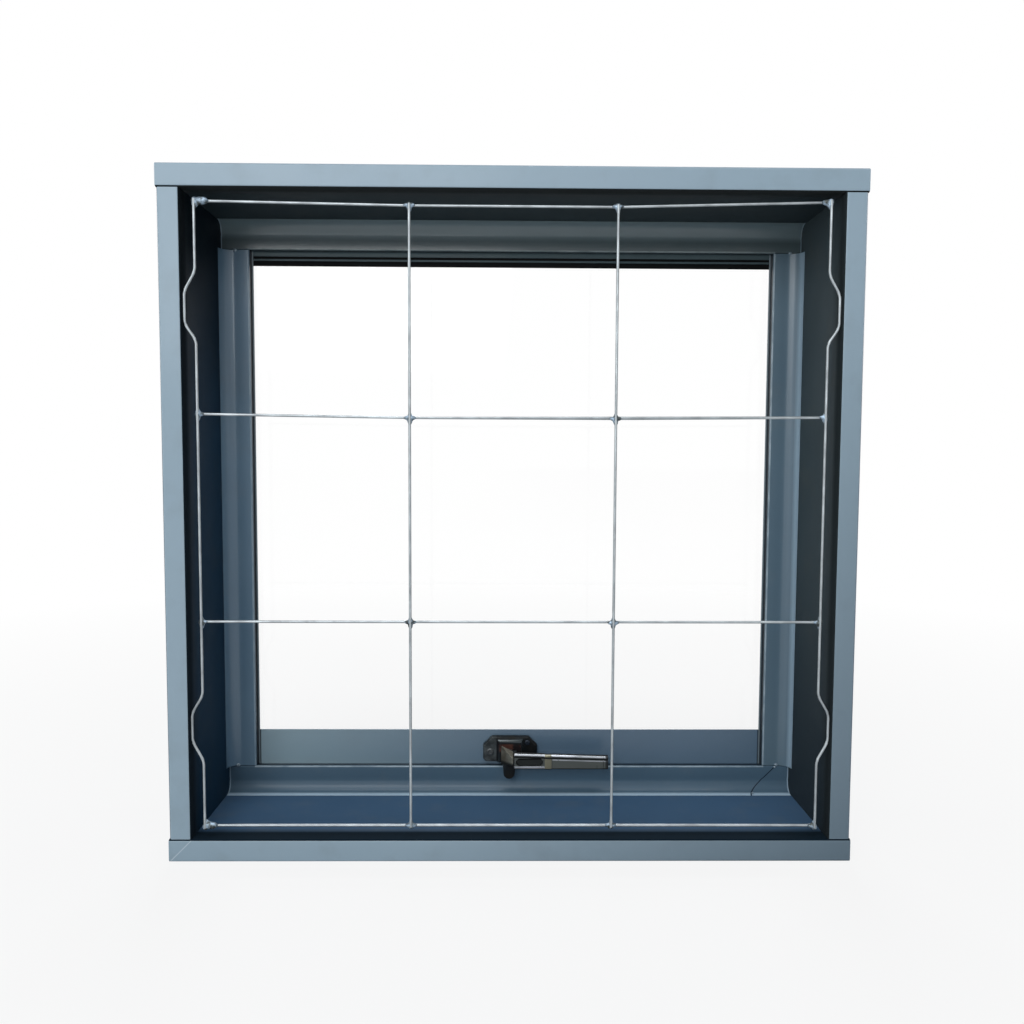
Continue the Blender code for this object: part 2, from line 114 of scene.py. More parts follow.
@dataclass
class Graph:
    """The node tree of a material or of the world, with one short call for each step of a signal."""

    owner: bpy.types.Material | bpy.types.World

    @classmethod
    def named(cls, name: str) -> Graph:
        """Starts a material with a Principled shader and nothing else.

        Args:
            name: The material's name.

        Returns:
            Its graph.
        """
        made = bpy.data.materials.new(name)
        made.use_nodes = True
        return cls(made)

    @property
    def shader(self) -> bpy.types.Node:
        """The material's Principled shader."""
        return self.owner.node_tree.nodes["Principled BSDF"]

    def node(self, kind: str, **settings: object) -> bpy.types.Node:
        """Adds a node.

        Args:
            kind: Its type.
            **settings: Its own properties, by name.

        Returns:
            The new node.
        """
        made = self.owner.node_tree.nodes.new(kind)
        for key, value in settings.items():
            setattr(made, key, value)
        return made

    def join(self, source: Socket, target: Socket) -> None:
        """Links two sockets."""
        self.owner.node_tree.links.new(source, target)

    def finished(self, inputs: dict[str, Socket | tuple[float, ...] | float]) -> bpy.types.Material:
        """Feeds the Principled shader.

        Args:
            inputs: A signal, or else a number or colour that is the same all over, by the input's name.

        Returns:
            The material.
        """
        for name, value in inputs.items():
            if isinstance(value, Socket):
                self.join(value, self.shader.inputs[name])
            else:
                self.shader.inputs[name].default_value = value
        return self.owner

    def show(self, share: Socket, first: Socket, second: Socket, output: str) -> None:
        """Mixes two shaders and sends the result to the tree's output.

        Args:
            share: How much of the second one shows, 0 to 1.
            first: The shader under it.
            second: The shader over it.
            output: The output node's name.
        """
        mix = self.node("ShaderNodeMixShader")
        for source, target in zip((share, first, second), mix.inputs):
            self.join(source, target)
        self.join(mix.outputs[0], self.owner.node_tree.nodes[output].inputs["Surface"])

    def place(self) -> Socket:
        """Returns a point's place in the object's own coordinates."""
        return self.node("ShaderNodeTexCoord").outputs["Object"]

    def grain(self, scale: float, detail: float, stretch: Place = (1, 1, 1)) -> Socket:
        """Adds noise on the object's own coordinates.

        Args:
            scale: How many features a metre holds.
            detail: Octaves of finer noise.
            stretch: A factor on each axis, below 1 to draw the noise out.

        Returns:
            The noise's output, 0 to 1.
        """
        turn = self.node("ShaderNodeMapping")
        turn.inputs["Scale"].default_value = stretch
        made = self.node("ShaderNodeTexNoise")
        made.inputs["Scale"].default_value = scale
        made.inputs["Detail"].default_value = detail
        self.join(self.place(), turn.inputs["Vector"])
        self.join(turn.outputs["Vector"], made.inputs["Vector"])
        return made.outputs["Fac"]

    def spread(self, source: Socket, low: float, high: float, start: float = 0.3, end: float = 0.7) -> Socket:
        """Maps a signal from start..end to low..high, held at both ends.

        Args:
            source: The signal.
            low: What it turns into up to the start.
            high: What it turns into from the end on.
            start: Where it starts to change.
            end: Where it stops changing.

        Returns:
            The new signal.
        """
        made = self.node("ShaderNodeMapRange")
        for name, value in (("From Min", start), ("From Max", end), ("To Min", low), ("To Max", high)):
            made.inputs[name].default_value = value
        self.join(source, made.inputs["Value"])
        return made.outputs["Result"]

    def past(self, source: Socket, edge: float, soft: float, share: float = 1.0) -> Socket:
        """Rises from 0 to a share, over the soft stretch that follows an edge."""
        return self.spread(source, 0.0, share, edge, edge + soft)

    def before(self, source: Socket, edge: float, soft: float, share: float = 1.0) -> Socket:
        """Falls from a share to 0, over the soft stretch that follows an edge."""
        return self.spread(source, share, 0.0, edge, edge + soft)

    def band(self, source: Socket, low: float, high: float, soft: float = 0.2 * MM) -> Socket:
        """Returns 1 where a signal lies between low and high, and 0 elsewhere."""
        return self.times(self.past(source, low, soft), self.before(source, high, soft))

    def worked(self, operation: str, first: Socket, second: Socket | float) -> Socket:
        """Works out one signal from two.

        Args:
            operation: The Math node's operation.
            first: The first signal.
            second: The second signal, or a number.

        Returns:
            The result.
        """
        made = self.node("ShaderNodeMath", operation=operation)
        self.join(first, made.inputs[0])
        if isinstance(second, Socket):
            self.join(second, made.inputs[1])
        else:
            made.inputs[1].default_value = second
        return made.outputs[0]

    def times(self, first: Socket, second: Socket) -> Socket:
        """Multiplies two signals."""
        return self.worked("MULTIPLY", first, second)

    def most(self, first: Socket, *others: Socket) -> Socket:
        """Picks the largest of some signals.

        Args:
            first: One signal.
            *others: The rest of them.

        Returns:
            The largest at each point.
        """
        for other in others:
            first = self.worked("MAXIMUM", first, other)
        return first

    def overlay(self, share: Socket, under: Socket | Colour, over: Colour) -> Socket:
        """Lays a display colour over another one, or over a signal's colour.

        Args:
            share: How much of the upper colour shows, 0 to 1.
            under: The lower colour.
            over: The upper colour.

        Returns:
            The mixed colour.
        """
        made = self.node("ShaderNodeMix", data_type="RGBA")
        lower, upper = (socket for socket in made.inputs if socket.type == "RGBA")
        if isinstance(under, Socket):
            self.join(under, lower)
        else:
            lower.default_value = linear(under)
        upper.default_value = linear(over)
        self.join(share, made.inputs[0])
        return next(socket for socket in made.outputs if socket.type == "RGBA")

    def bump(self, height: Socket, depth: float, under: Socket | None = None) -> Socket:
        """Adds a bump.

        Args:
            height: The bump's height, 0 to 1.
            depth: Its depth in metres.
            under: The normal of a finer bump that lies on it.

        Returns:
            The bumped normal.
        """
        made = self.node("ShaderNodeBump")
        made.inputs["Distance"].default_value = depth
        self.join(height, made.inputs["Height"])
        if under is not None:
            self.join(under, made.inputs["Normal"])
        return made.outputs["Normal"]

    def vector(self, operation: str, source: Socket, by: Place = (0.0, 0.0, 0.0)) -> bpy.types.NodeOutputs:
        """Works on a vector.

        Args:
            operation: The Vector Math node's operation.
            source: The vector.
            by: The second vector, where the operation takes two.

        Returns:
            The node's outputs.
        """
        made = self.node("ShaderNodeVectorMath", operation=operation)
        made.inputs[1].default_value = by
        self.join(source, made.inputs[0])
        return made.outputs

    def parts(self, source: Socket) -> tuple[Socket, ...]:
        """Takes a vector apart.

        Args:
            source: The vector.

        Returns:
            Its X, Y and Z.
        """
        made = self.node("ShaderNodeSeparateXYZ")
        self.join(source, made.inputs[0])
        return tuple(made.outputs)

    def axes(self) -> tuple[Socket, ...]:
        """Returns how far a point lies to the right, outwards and up."""
        return self.parts(self.place())

    def along(self, right: float, up: float) -> Socket:
        """Returns how far a point lies along a direction across the window's face."""
        return self.vector("DOT_PRODUCT", self.place(), (right, 0.0, up))["Value"]

    def from_middle(self) -> tuple[Socket, ...]:
        """Returns how far a point is from the window's middle, across, through and upwards."""
        centred = self.vector("SUBTRACT", self.place(), (0.0, 0.0, MIDDLE_HEIGHT))["Vector"]
        return self.parts(self.vector("ABSOLUTE", centred)["Vector"])

    def worn_edges(self, start: float, end: float) -> Socket:
        """Returns 1 on sharp outer edges and 0 elsewhere."""
        return self.spread(self.node("ShaderNodeNewGeometry").outputs["Pointiness"], 0.0, 1.0, start, end)


@dataclass(frozen=True)
class Finish:
    """What a surface is like.

    Its grains and bumps are noises, given by their features to the metre and their octaves. The edge of a grain is the
    part of the noise over which it turns from its first share to its second.
    """

    name: str

    def build(self) -> bpy.types.Material:
        """Builds the material, which bears the finish's name."""
        raise NotImplementedError

    def wear(self, graph: Graph, colour: Socket) -> Socket:
        """Returns the colour with this finish's own wear on it, which a plain one has none of."""
        return colour


@dataclass(frozen=True)
class PaintFinish(Finish):
    """Satin slate paint on folded sheet, with a fine orange peel, slow waves and a little dust."""

    name: str = "grey_paint"
    colour: Colour = (64, 86, 106)
    faded: Colour = (72, 93, 112)
    dust: Colour = (98, 108, 114)
    dusty: float = 0.16
    roughness: float = 0.38
    specular: float = 0.5
    coat: float = 0.4
    coat_roughness: float = 0.16

    CLOUDS: ClassVar[Span] = (5.0, 3.0)
    DUST_GRAIN: ClassVar[Span] = (38.0, 6.0)
    DUST_EDGE: ClassVar[Span] = (0.52, 0.72)
    GLOSS_GRAIN: ClassVar[Span] = (11.0, 4.0)
    GLOSS_SPAN: ClassVar[Span] = (-0.05, 0.07)
    PEEL: ClassVar[Span] = (420.0, 1.0)
    PEEL_DEPTH: ClassVar[float] = 0.04 * MM
    WAVES: ClassVar[Span] = (9.0, 1.0)
    WAVE_DEPTH: ClassVar[float] = 0.9 * MM

    def build(self) -> bpy.types.Material:
        """Builds the paint's material.

        Returns:
            The finished material.
        """
        graph = Graph.named(self.name)
        colour = graph.overlay(graph.spread(graph.grain(*self.CLOUDS), 0.0, 1.0), self.colour, self.faded)
        dust = graph.spread(graph.grain(*self.DUST_GRAIN), 0.0, self.dusty, *self.DUST_EDGE)
        smooth, rough = (self.roughness + step for step in self.GLOSS_SPAN)
        peel = graph.bump(graph.grain(*self.PEEL), self.PEEL_DEPTH)
        return graph.finished({
            "Base Color": self.wear(graph, graph.overlay(dust, colour, self.dust)),
            "Roughness": self.dulled(graph, graph.spread(graph.grain(*self.GLOSS_GRAIN), smooth, rough)),
            "Normal": graph.bump(graph.grain(*self.WAVES), self.WAVE_DEPTH, peel),
            "Specular IOR Level": self.specular,
            "Coat Weight": self.coat,
            "Coat Roughness": self.coat_roughness,
        })

    def dulled(self, graph: Graph, rough: Socket) -> Socket:
        """Returns the roughness with this paint's own dull places in it, which plain paint has none of."""
        return rough


@dataclass(frozen=True)
class StopFinish(PaintFinish):
    """The paint of a stop: painted shade in the gap behind its hem, and painted highlights along the hem, at its foot
    and at its end.

    Its places are measured from the window's middle. The seam is a dark line at 45 degrees across its face, and one
    that is a metre away never shows.
    """

    name: str = "stop_paint"
    # painted highlight along the hem
    rubbed_tone_and_hem_highlight: Colour = (150, 167, 178)
    # painted shade in the gap behind the hem, and the colour of the real seam line
    gap_shade_and_seam: Colour = (10, 26, 40)
    foot_share: float = 0.0
    end: float = 278.4 * MM
    end_ramp: float = 0.6 * MM
    end_share: float = 0.0
    # painted highlight where the stop turns into the wall, at its foot and at its end
    bare_and_fillet_highlight: Colour = (176, 200, 218)
    seam: float = 1.0
    # painted light in the hollow beside the wall
    hollow_light_share: float = 0.0
    hollow_light_colour: Colour = (104, 120, 126)

    HEM: ClassVar[Span] = (253.1 * MM, 254.4 * MM)
    HEM_DEPTH: ClassVar[Span] = (41.2 * MM, 0.2 * MM)
    HEM_GRAIN: ClassVar[Span] = (55.0, 4.0)
    HEM_EDGE: ClassVar[Span] = (0.35, 0.6)
    HEM_SHARES: ClassVar[Span] = (0.35, 0.95)
    GAP_SHADE: ClassVar[Span] = (41.6 * MM, 1.6 * MM)
    FOOT: ClassVar[Span] = (278.1 * MM, 1.0 * MM)
    HOLLOW: ClassVar[Span] = (262.4 * MM, 6.0 * MM)
    SEAM_HALF: ClassVar[float] = 0.7 * MM
    SEAM_SOFT: ClassVar[float] = 0.4 * MM

    def wear(self, graph: Graph, colour: Socket) -> Socket:
        """Adds the hollow's painted light, the painted highlights at the foot, the end and the hem, the seam and the
        painted shade in the gap.

        Args:
            graph: The material's nodes.
            colour: The plain paint's colour.

        Returns:
            The colour with its wear.
        """
        x, y, z = graph.from_middle()
        # painted light: the hollow beside the wall is lighter
        colour = graph.overlay(graph.past(z, *self.HOLLOW, self.hollow_light_share), colour, self.hollow_light_colour)
        # painted highlights at the foot and at the end, along the turn into the wall
        foot = graph.past(z, *self.FOOT, self.foot_share)
        end = graph.past(x, self.end, self.end_ramp, self.end_share)
        colour = graph.overlay(graph.most(foot, end), colour, self.bare_and_fillet_highlight)
        seam = graph.band(graph.along(1.0, -1.0), self.seam - self.SEAM_HALF, self.seam + self.SEAM_HALF,
                          self.SEAM_SOFT)
        colour = graph.overlay(seam, colour, self.gap_shade_and_seam)
        # painted highlight along the hem, broken into patches
        hem_highlight = graph.times(graph.band(graph.most(x, z), *self.HEM), graph.before(y, *self.HEM_DEPTH))
        patches = graph.spread(graph.grain(*self.HEM_GRAIN), *self.HEM_SHARES, *self.HEM_EDGE)
        colour = graph.overlay(graph.times(hem_highlight, patches), colour, self.rubbed_tone_and_hem_highlight)
        # painted shade in the gap behind the hem
        return graph.overlay(graph.past(y, *self.GAP_SHADE), colour, self.gap_shade_and_seam)


@dataclass(frozen=True)
class PaintedLightFinish(PaintFinish):
    """Paint that turns into a shaded tone along a direction, as painted light and shade, with painted shade in the gap
    where its piece meets the next one.

    The joint is how far across from the window's middle the painted shade starts, and one that is a metre away never
    shows.
    """

    # the darker tone that the paint turns into along its way, as painted shade
    shaded_tone: Colour = (92, 110, 123)
    way: Span = (1.0, -0.8)
    start: float = -0.1
    end: float = 0.34
    joint: float = 1.0
    # painted shade in the gap where the piece meets the next one
    gap_shade: Colour = (8, 22, 34)

    JOINT_SOFT: ClassVar[float] = 0.3 * MM
    JOINT_SHARE: ClassVar[float] = 0.9
    JOINT_DEPTH: ClassVar[Span] = (50.0 * MM, 1.0 * MM)

    def wear(self, graph: Graph, colour: Socket) -> Socket:
        """Lays the shaded tone over the far end and painted shade along the joint.

        Args:
            graph: The material's nodes.
            colour: The plain paint's colour.

        Returns:
            The colour with its painted change of tone and its painted shade.
        """
        # painted light and shade: the tone changes along a direction
        colour = graph.overlay(graph.spread(graph.along(*self.way), 0.0, 1.0, self.start, self.end), colour, self.shaded_tone)
        x, y, _ = graph.from_middle()
        # painted shade along the joint
        gap_shade_mask = graph.times(graph.past(x, self.joint, self.JOINT_SOFT, self.JOINT_SHARE),
                           graph.before(y, *self.JOINT_DEPTH))
        return graph.overlay(gap_shade_mask, colour, self.gap_shade)


@dataclass(frozen=True)
class CornerFinish(PaintedLightFinish):
    """Paler, lit paint of the outermost faces (painted light), with the pale streak of a ground mitre weld at the
    lower left.
    """

    # colour of the weld streak and the flecks, and of the painted highlight along the inner rim
    weld_and_rim_highlight: Colour = (196, 208, 216)

    STREAK: ClassVar[Span] = (298.6 * MM, 299.7 * MM)
    STREAK_SOFT: ClassVar[float] = 0.5 * MM
    STREAK_END: ClassVar[Span] = (-263.0 * MM, 5.0 * MM)
    STREAK_SHARE: ClassVar[float] = 0.7
    RIM: ClassVar[Span] = (279.8 * MM, 280.7 * MM)
    RIM_HIGHLIGHT_GRAIN: ClassVar[Span] = (30.0, 3.0)
    RIM_HIGHLIGHT_SHARES: ClassVar[Span] = (0.3, 0.7)
    FLECK_GRAIN: ClassVar[Span] = (260.0, 2.0)
    FLECK_EDGE: ClassVar[Span] = (0.79, 0.82)
    FLECK_SHARE: ClassVar[float] = 0.8

    def wear(self, graph: Graph, colour: Socket) -> Socket:
        """Adds the painted highlight along the inner rim, the streak and a few flecks to the painted change of tone.

        Args:
            graph: The material's nodes.
            colour: The plain paint's colour.

        Returns:
            The colour with its marks.
        """
        colour = super().wear(graph, colour)
        x, _, z = graph.from_middle()
        # painted highlight along the inner rim, broken into patches
        rim_highlight = graph.times(graph.band(graph.most(x, z), *self.RIM),
                          graph.spread(graph.grain(*self.RIM_HIGHLIGHT_GRAIN), *self.RIM_HIGHLIGHT_SHARES))
        streak = graph.times(graph.band(graph.along(-1.0, 1.0), *self.STREAK, self.STREAK_SOFT),
                             graph.before(graph.along(1.0, 1.0), *self.STREAK_END, self.STREAK_SHARE))
        flecks = graph.spread(graph.grain(*self.FLECK_GRAIN), 0.0, self.FLECK_SHARE, *self.FLECK_EDGE)
        for mark in (rim_highlight, streak, flecks):
            colour = graph.overlay(mark, colour, self.weld_and_rim_highlight)
        return colour


@dataclass(frozen=True)
class RevealFinish(PaintFinish):
    """The paint inside the reveal, darker and matt along its front edge.

    The darkening is full at the front and ends at the back. A wall also darkens from the first height of its dim span
    to the second, upwards or downwards, as painted shade.
    """

    name: str = "reveal_paint"
    front_dark: Colour = (34, 36, 36)
    front_darkness: float = 0.8
    back: float = -44.0 * MM
    front: float = -62.0 * MM
    dim: Span = (1.0, 2.0)
    # painted shade over the dim span
    painted_shade_share: float = 0.0
    painted_shade_colour: Colour = (6, 12, 16)

    def wear(self, graph: Graph, colour: Socket) -> Socket:
        """Adds the painted shade over the wall's dim stretch and the darker front edge.

        Args:
            graph: The material's nodes.
            colour: The plain paint's colour.

        Returns:
            The colour with its painted shade and its darker front edge.
        """
        _, y, z = graph.axes()
        # painted shade: the wall darkens over its dim span
        colour = graph.overlay(graph.spread(z, 0.0, self.painted_shade_share, *self.dim), colour, self.painted_shade_colour)
        return graph.overlay(graph.spread(y, self.front_darkness, 0.0, self.front, self.back), colour, self.front_dark)

    def dulled(self, graph: Graph, rough: Socket) -> Socket:
        """Makes the darker front edge matt.

        Args:
            graph: The material's nodes.
            rough: The plain paint's roughness.

        Returns:
            The roughness with the matt front edge.
        """
        _, y, _ = graph.axes()
        return graph.most(rough, graph.spread(y, 1.0, 0.0, self.front, self.back))


@dataclass(frozen=True)
class PatchyFinish(Finish):
    """Two tones in patches over fine bumps, as wire, weld, rubber, plating and castings have.

    The roughness is one number, or a span that its own grain runs through.
    """

    colour: Colour = (188, 196, 200)
    other: Colour = (146, 152, 156)
    patches: Span = (60.0, 4.0)
    patch_edge: Span = (0.3, 0.7)
    patch_share: float = 1.0
    gloss_grain: Span = (150.0, 3.0)
    roughness: Span | float = (0.34, 0.54)
    bumps: Span = (900.0, 2.0)
    bump_depth: float = 0.05 * MM
    metallic: float = 0.0
    specular: float = 0.5

    def build(self) -> bpy.types.Material:
        """Builds the material.

        Returns:
            The finished material.
        """
        graph = Graph.named(self.name)
        patches = graph.spread(graph.grain(*self.patches), 0.0, self.patch_share, *self.patch_edge)
        rough = self.roughness
        if isinstance(rough, tuple):
            rough = graph.spread(graph.grain(*self.gloss_grain), *rough)
        return graph.finished({
            "Base Color": self.wear(graph, graph.overlay(patches, self.colour, self.other)),
            "Roughness": rough,
            "Normal": graph.bump(graph.grain(*self.bumps), self.bump_depth),
            "Metallic": self.metallic,
            "Specular IOR Level": self.specular,
        })


@dataclass(frozen=True)
class WireFinish(PatchyFinish):
    """Dull galvanised wire, with soft spangle and darker patches."""

    name: str = "galvanised_wire"
    metallic: float = 0.55


@dataclass(frozen=True)
class WeldFinish(PatchyFinish):
    """The bluish lumps of weld that hold the wires, scaled and darker in patches."""

    name: str = "weld_bead"
    colour: Colour = (158, 178, 196)
    other: Colour = (66, 72, 72)
    patches: Span = (260.0, 4.0)
    patch_edge: Span = (0.42, 0.6)
    gloss_grain: Span = (400.0, 2.0)
    roughness: Span | float = (0.25, 0.55)
    bumps: Span = (700.0, 3.0)
    bump_depth: float = 0.2 * MM
    metallic: float = 0.5


@dataclass(frozen=True)
class RubberFinish(PatchyFinish):
    """Matt black sealing strip with a dusty bloom."""

    name: str = "black_rubber"
    colour: Colour = (6, 9, 11)
    other: Colour = (18, 22, 24)
    patches: Span = (45.0, 5.0)
    patch_edge: Span = (0.45, 0.75)
    patch_share: float = 0.6
    roughness: Span | float = 0.7
    bumps: Span = (1500.0, 2.0)
    bump_depth: float = 0.06 * MM
    specular: float = 0.12


@dataclass(frozen=True)
class PlatedFinish(PatchyFinish):
    """Zinc plated steel, brushed by its turning."""

    name: str = "bright_steel"
    colour: Colour = (150, 152, 152)
    other: Colour = (96, 98, 98)
    patches: Span = (120.0, 4.0)
    roughness: Span | float = 0.34
    bumps: Span = (900.0, 3.0)
    bump_depth: float = 0.04 * MM
    metallic: float = 0.9


@dataclass(frozen=True)
class CastingFinish(PatchyFinish):
    """Coated casting: pebbled by its mould, rubbed along its edges and brown with old grease."""

    name: str = "black_casting"
    colour: Colour = (14, 19, 23)
    other: Colour = (26, 25, 23)
    edge: Colour = (52, 60, 64)
    patches: Span = (70.0, 5.0)
    patch_edge: Span = (0.45, 0.7)
    gloss_grain: Span = (130.0, 4.0)
    roughness: Span | float = (0.3, 0.54)
    bumps: Span = (650.0, 2.0)
    bump_depth: float = 0.12 * MM
    metallic: float = 0.1
    specular: float = 0.14

    EDGES: ClassVar[Span] = (0.54, 0.62)

    def wear(self, graph: Graph, colour: Socket) -> Socket:
        """Rubs the sharp edges."""
        return graph.overlay(graph.worn_edges(*self.EDGES), colour, self.edge)


@dataclass(frozen=True)
class BaseFinish(CastingFinish):
    """The handle's base: its left end is rubbed grey, the top of its housing has a painted highlight, and rust shows
    below.
    """

    name: str = "base_casting"
    bare_and_fillet_highlight: Colour = (76, 82, 84)
    # painted highlight along the top of the housing
    housing_highlight: Colour = (150, 158, 160)
    rust: Colour = (80, 50, 42)

    LEFT_END: ClassVar[Span] = (-14.5 * MM, 1.5 * MM)
    BARE_GRAIN: ClassVar[Span] = (120.0, 4.0)
    BARE_EDGE: ClassVar[Span] = (0.38, 0.6)
    BARE_SHARES: ClassVar[Span] = (0.25, 0.9)
    HOUSING: ClassVar[Span] = (72.5 * MM, 73.1 * MM)
    HOUSING_SOFT: ClassVar[float] = 0.3 * MM
    WIDTH: ClassVar[Span] = (-12.4 * MM, 12.6 * MM)
    RUSTY: ClassVar[Span] = (62.0 * MM, 69.5 * MM)
    RUST_SOFT: ClassVar[float] = 1.5 * MM
    RUST_GRAIN: ClassVar[Span] = (90.0, 3.0)
    RUST_EDGE: ClassVar[Span] = (0.42, 0.6)
    RUST_SHARES: ClassVar[Span] = (0.1, 0.9)

    def wear(self, graph: Graph, colour: Socket) -> Socket:
        """Adds the rubbed end, the rust, the painted highlight along the housing's top and the rubbed edges.

        Args:
            graph: The material's nodes.
            colour: The casting's plain colour.

        Returns:
            The colour with its wear.
        """
        x, _, z = graph.axes()
        bare_and_fillet_highlight = graph.times(graph.before(x, *self.LEFT_END),
                           graph.spread(graph.grain(*self.BARE_GRAIN), *self.BARE_SHARES, *self.BARE_EDGE))
        middle = graph.band(x, *self.WIDTH)
        rusty = graph.times(graph.times(middle, graph.band(z, *self.RUSTY, self.RUST_SOFT)),
                            graph.spread(graph.grain(*self.RUST_GRAIN), *self.RUST_SHARES, *self.RUST_EDGE))
        # painted highlight: a thin bright line along the top of the housing
        bright = graph.times(middle, graph.band(z, *self.HOUSING, self.HOUSING_SOFT))
        for share, over in ((bare_and_fillet_highlight, self.bare_and_fillet_highlight), (rusty, self.rust), (bright, self.housing_highlight)):
            colour = graph.overlay(share, colour, over)
        return super().wear(graph, colour)


@dataclass(frozen=True)
class HubFinish(CastingFinish):
    """The handle's hub: its facets are rubbed pale, and it turns black towards its foot."""

    name: str = "worn_casting"
    colour: Colour = (112, 112, 104)
    other: Colour = (74, 68, 58)
    edge: Colour = (30, 28, 24)
    metallic: float = 0.3
    black: Colour = (14, 18, 20)

    FOOT: ClassVar[Span] = (56.4 * MM, 2.4 * MM)
    FOOT_SHARE: ClassVar[float] = 0.92

    def wear(self, graph: Graph, colour: Socket) -> Socket:
        """Adds the black foot and the rubbed edges.

        Args:
            graph: The material's nodes.
            colour: The rubbed casting's colour.

        Returns:
            The colour with its wear.
        """
        _, _, z = graph.axes()
        foot = graph.before(z, *self.FOOT, self.FOOT_SHARE)
        return super().wear(graph, graph.overlay(foot, colour, self.black))


@dataclass(frozen=True)
class PaneFinish(Finish):
    """Clear float glass: it mirrors as its angle grows shallow, and otherwise lets what lies behind it through."""

    name: str = "clear_glass"
    colour: Colour = (246, 252, 250)
    roughness: float = 0.03
    steepness: float = 5.0
    film: float = 0.012
    haze: float = 0.01

    HAZE_GRAIN: ClassVar[Span] = (14.0, 4.0)
    HAZE_EDGE: ClassVar[Span] = (0.5, 0.8)

    def build(self) -> bpy.types.Material:
        """Builds the pane's material.

        Returns:
            The finished material.
        """
        graph = Graph.named(self.name)
        tilt = graph.node("ShaderNodeLayerWeight").outputs["Facing"]
        dust = graph.spread(graph.grain(*self.HAZE_GRAIN), self.film, self.film + self.haze, *self.HAZE_EDGE)
        return graph.finished({
            "Base Color": linear(self.colour),
            "Metallic": 1.0,
            "Roughness": self.roughness,
            "Alpha": graph.worked("ADD", graph.worked("POWER", tilt, self.steepness), dust),
        })


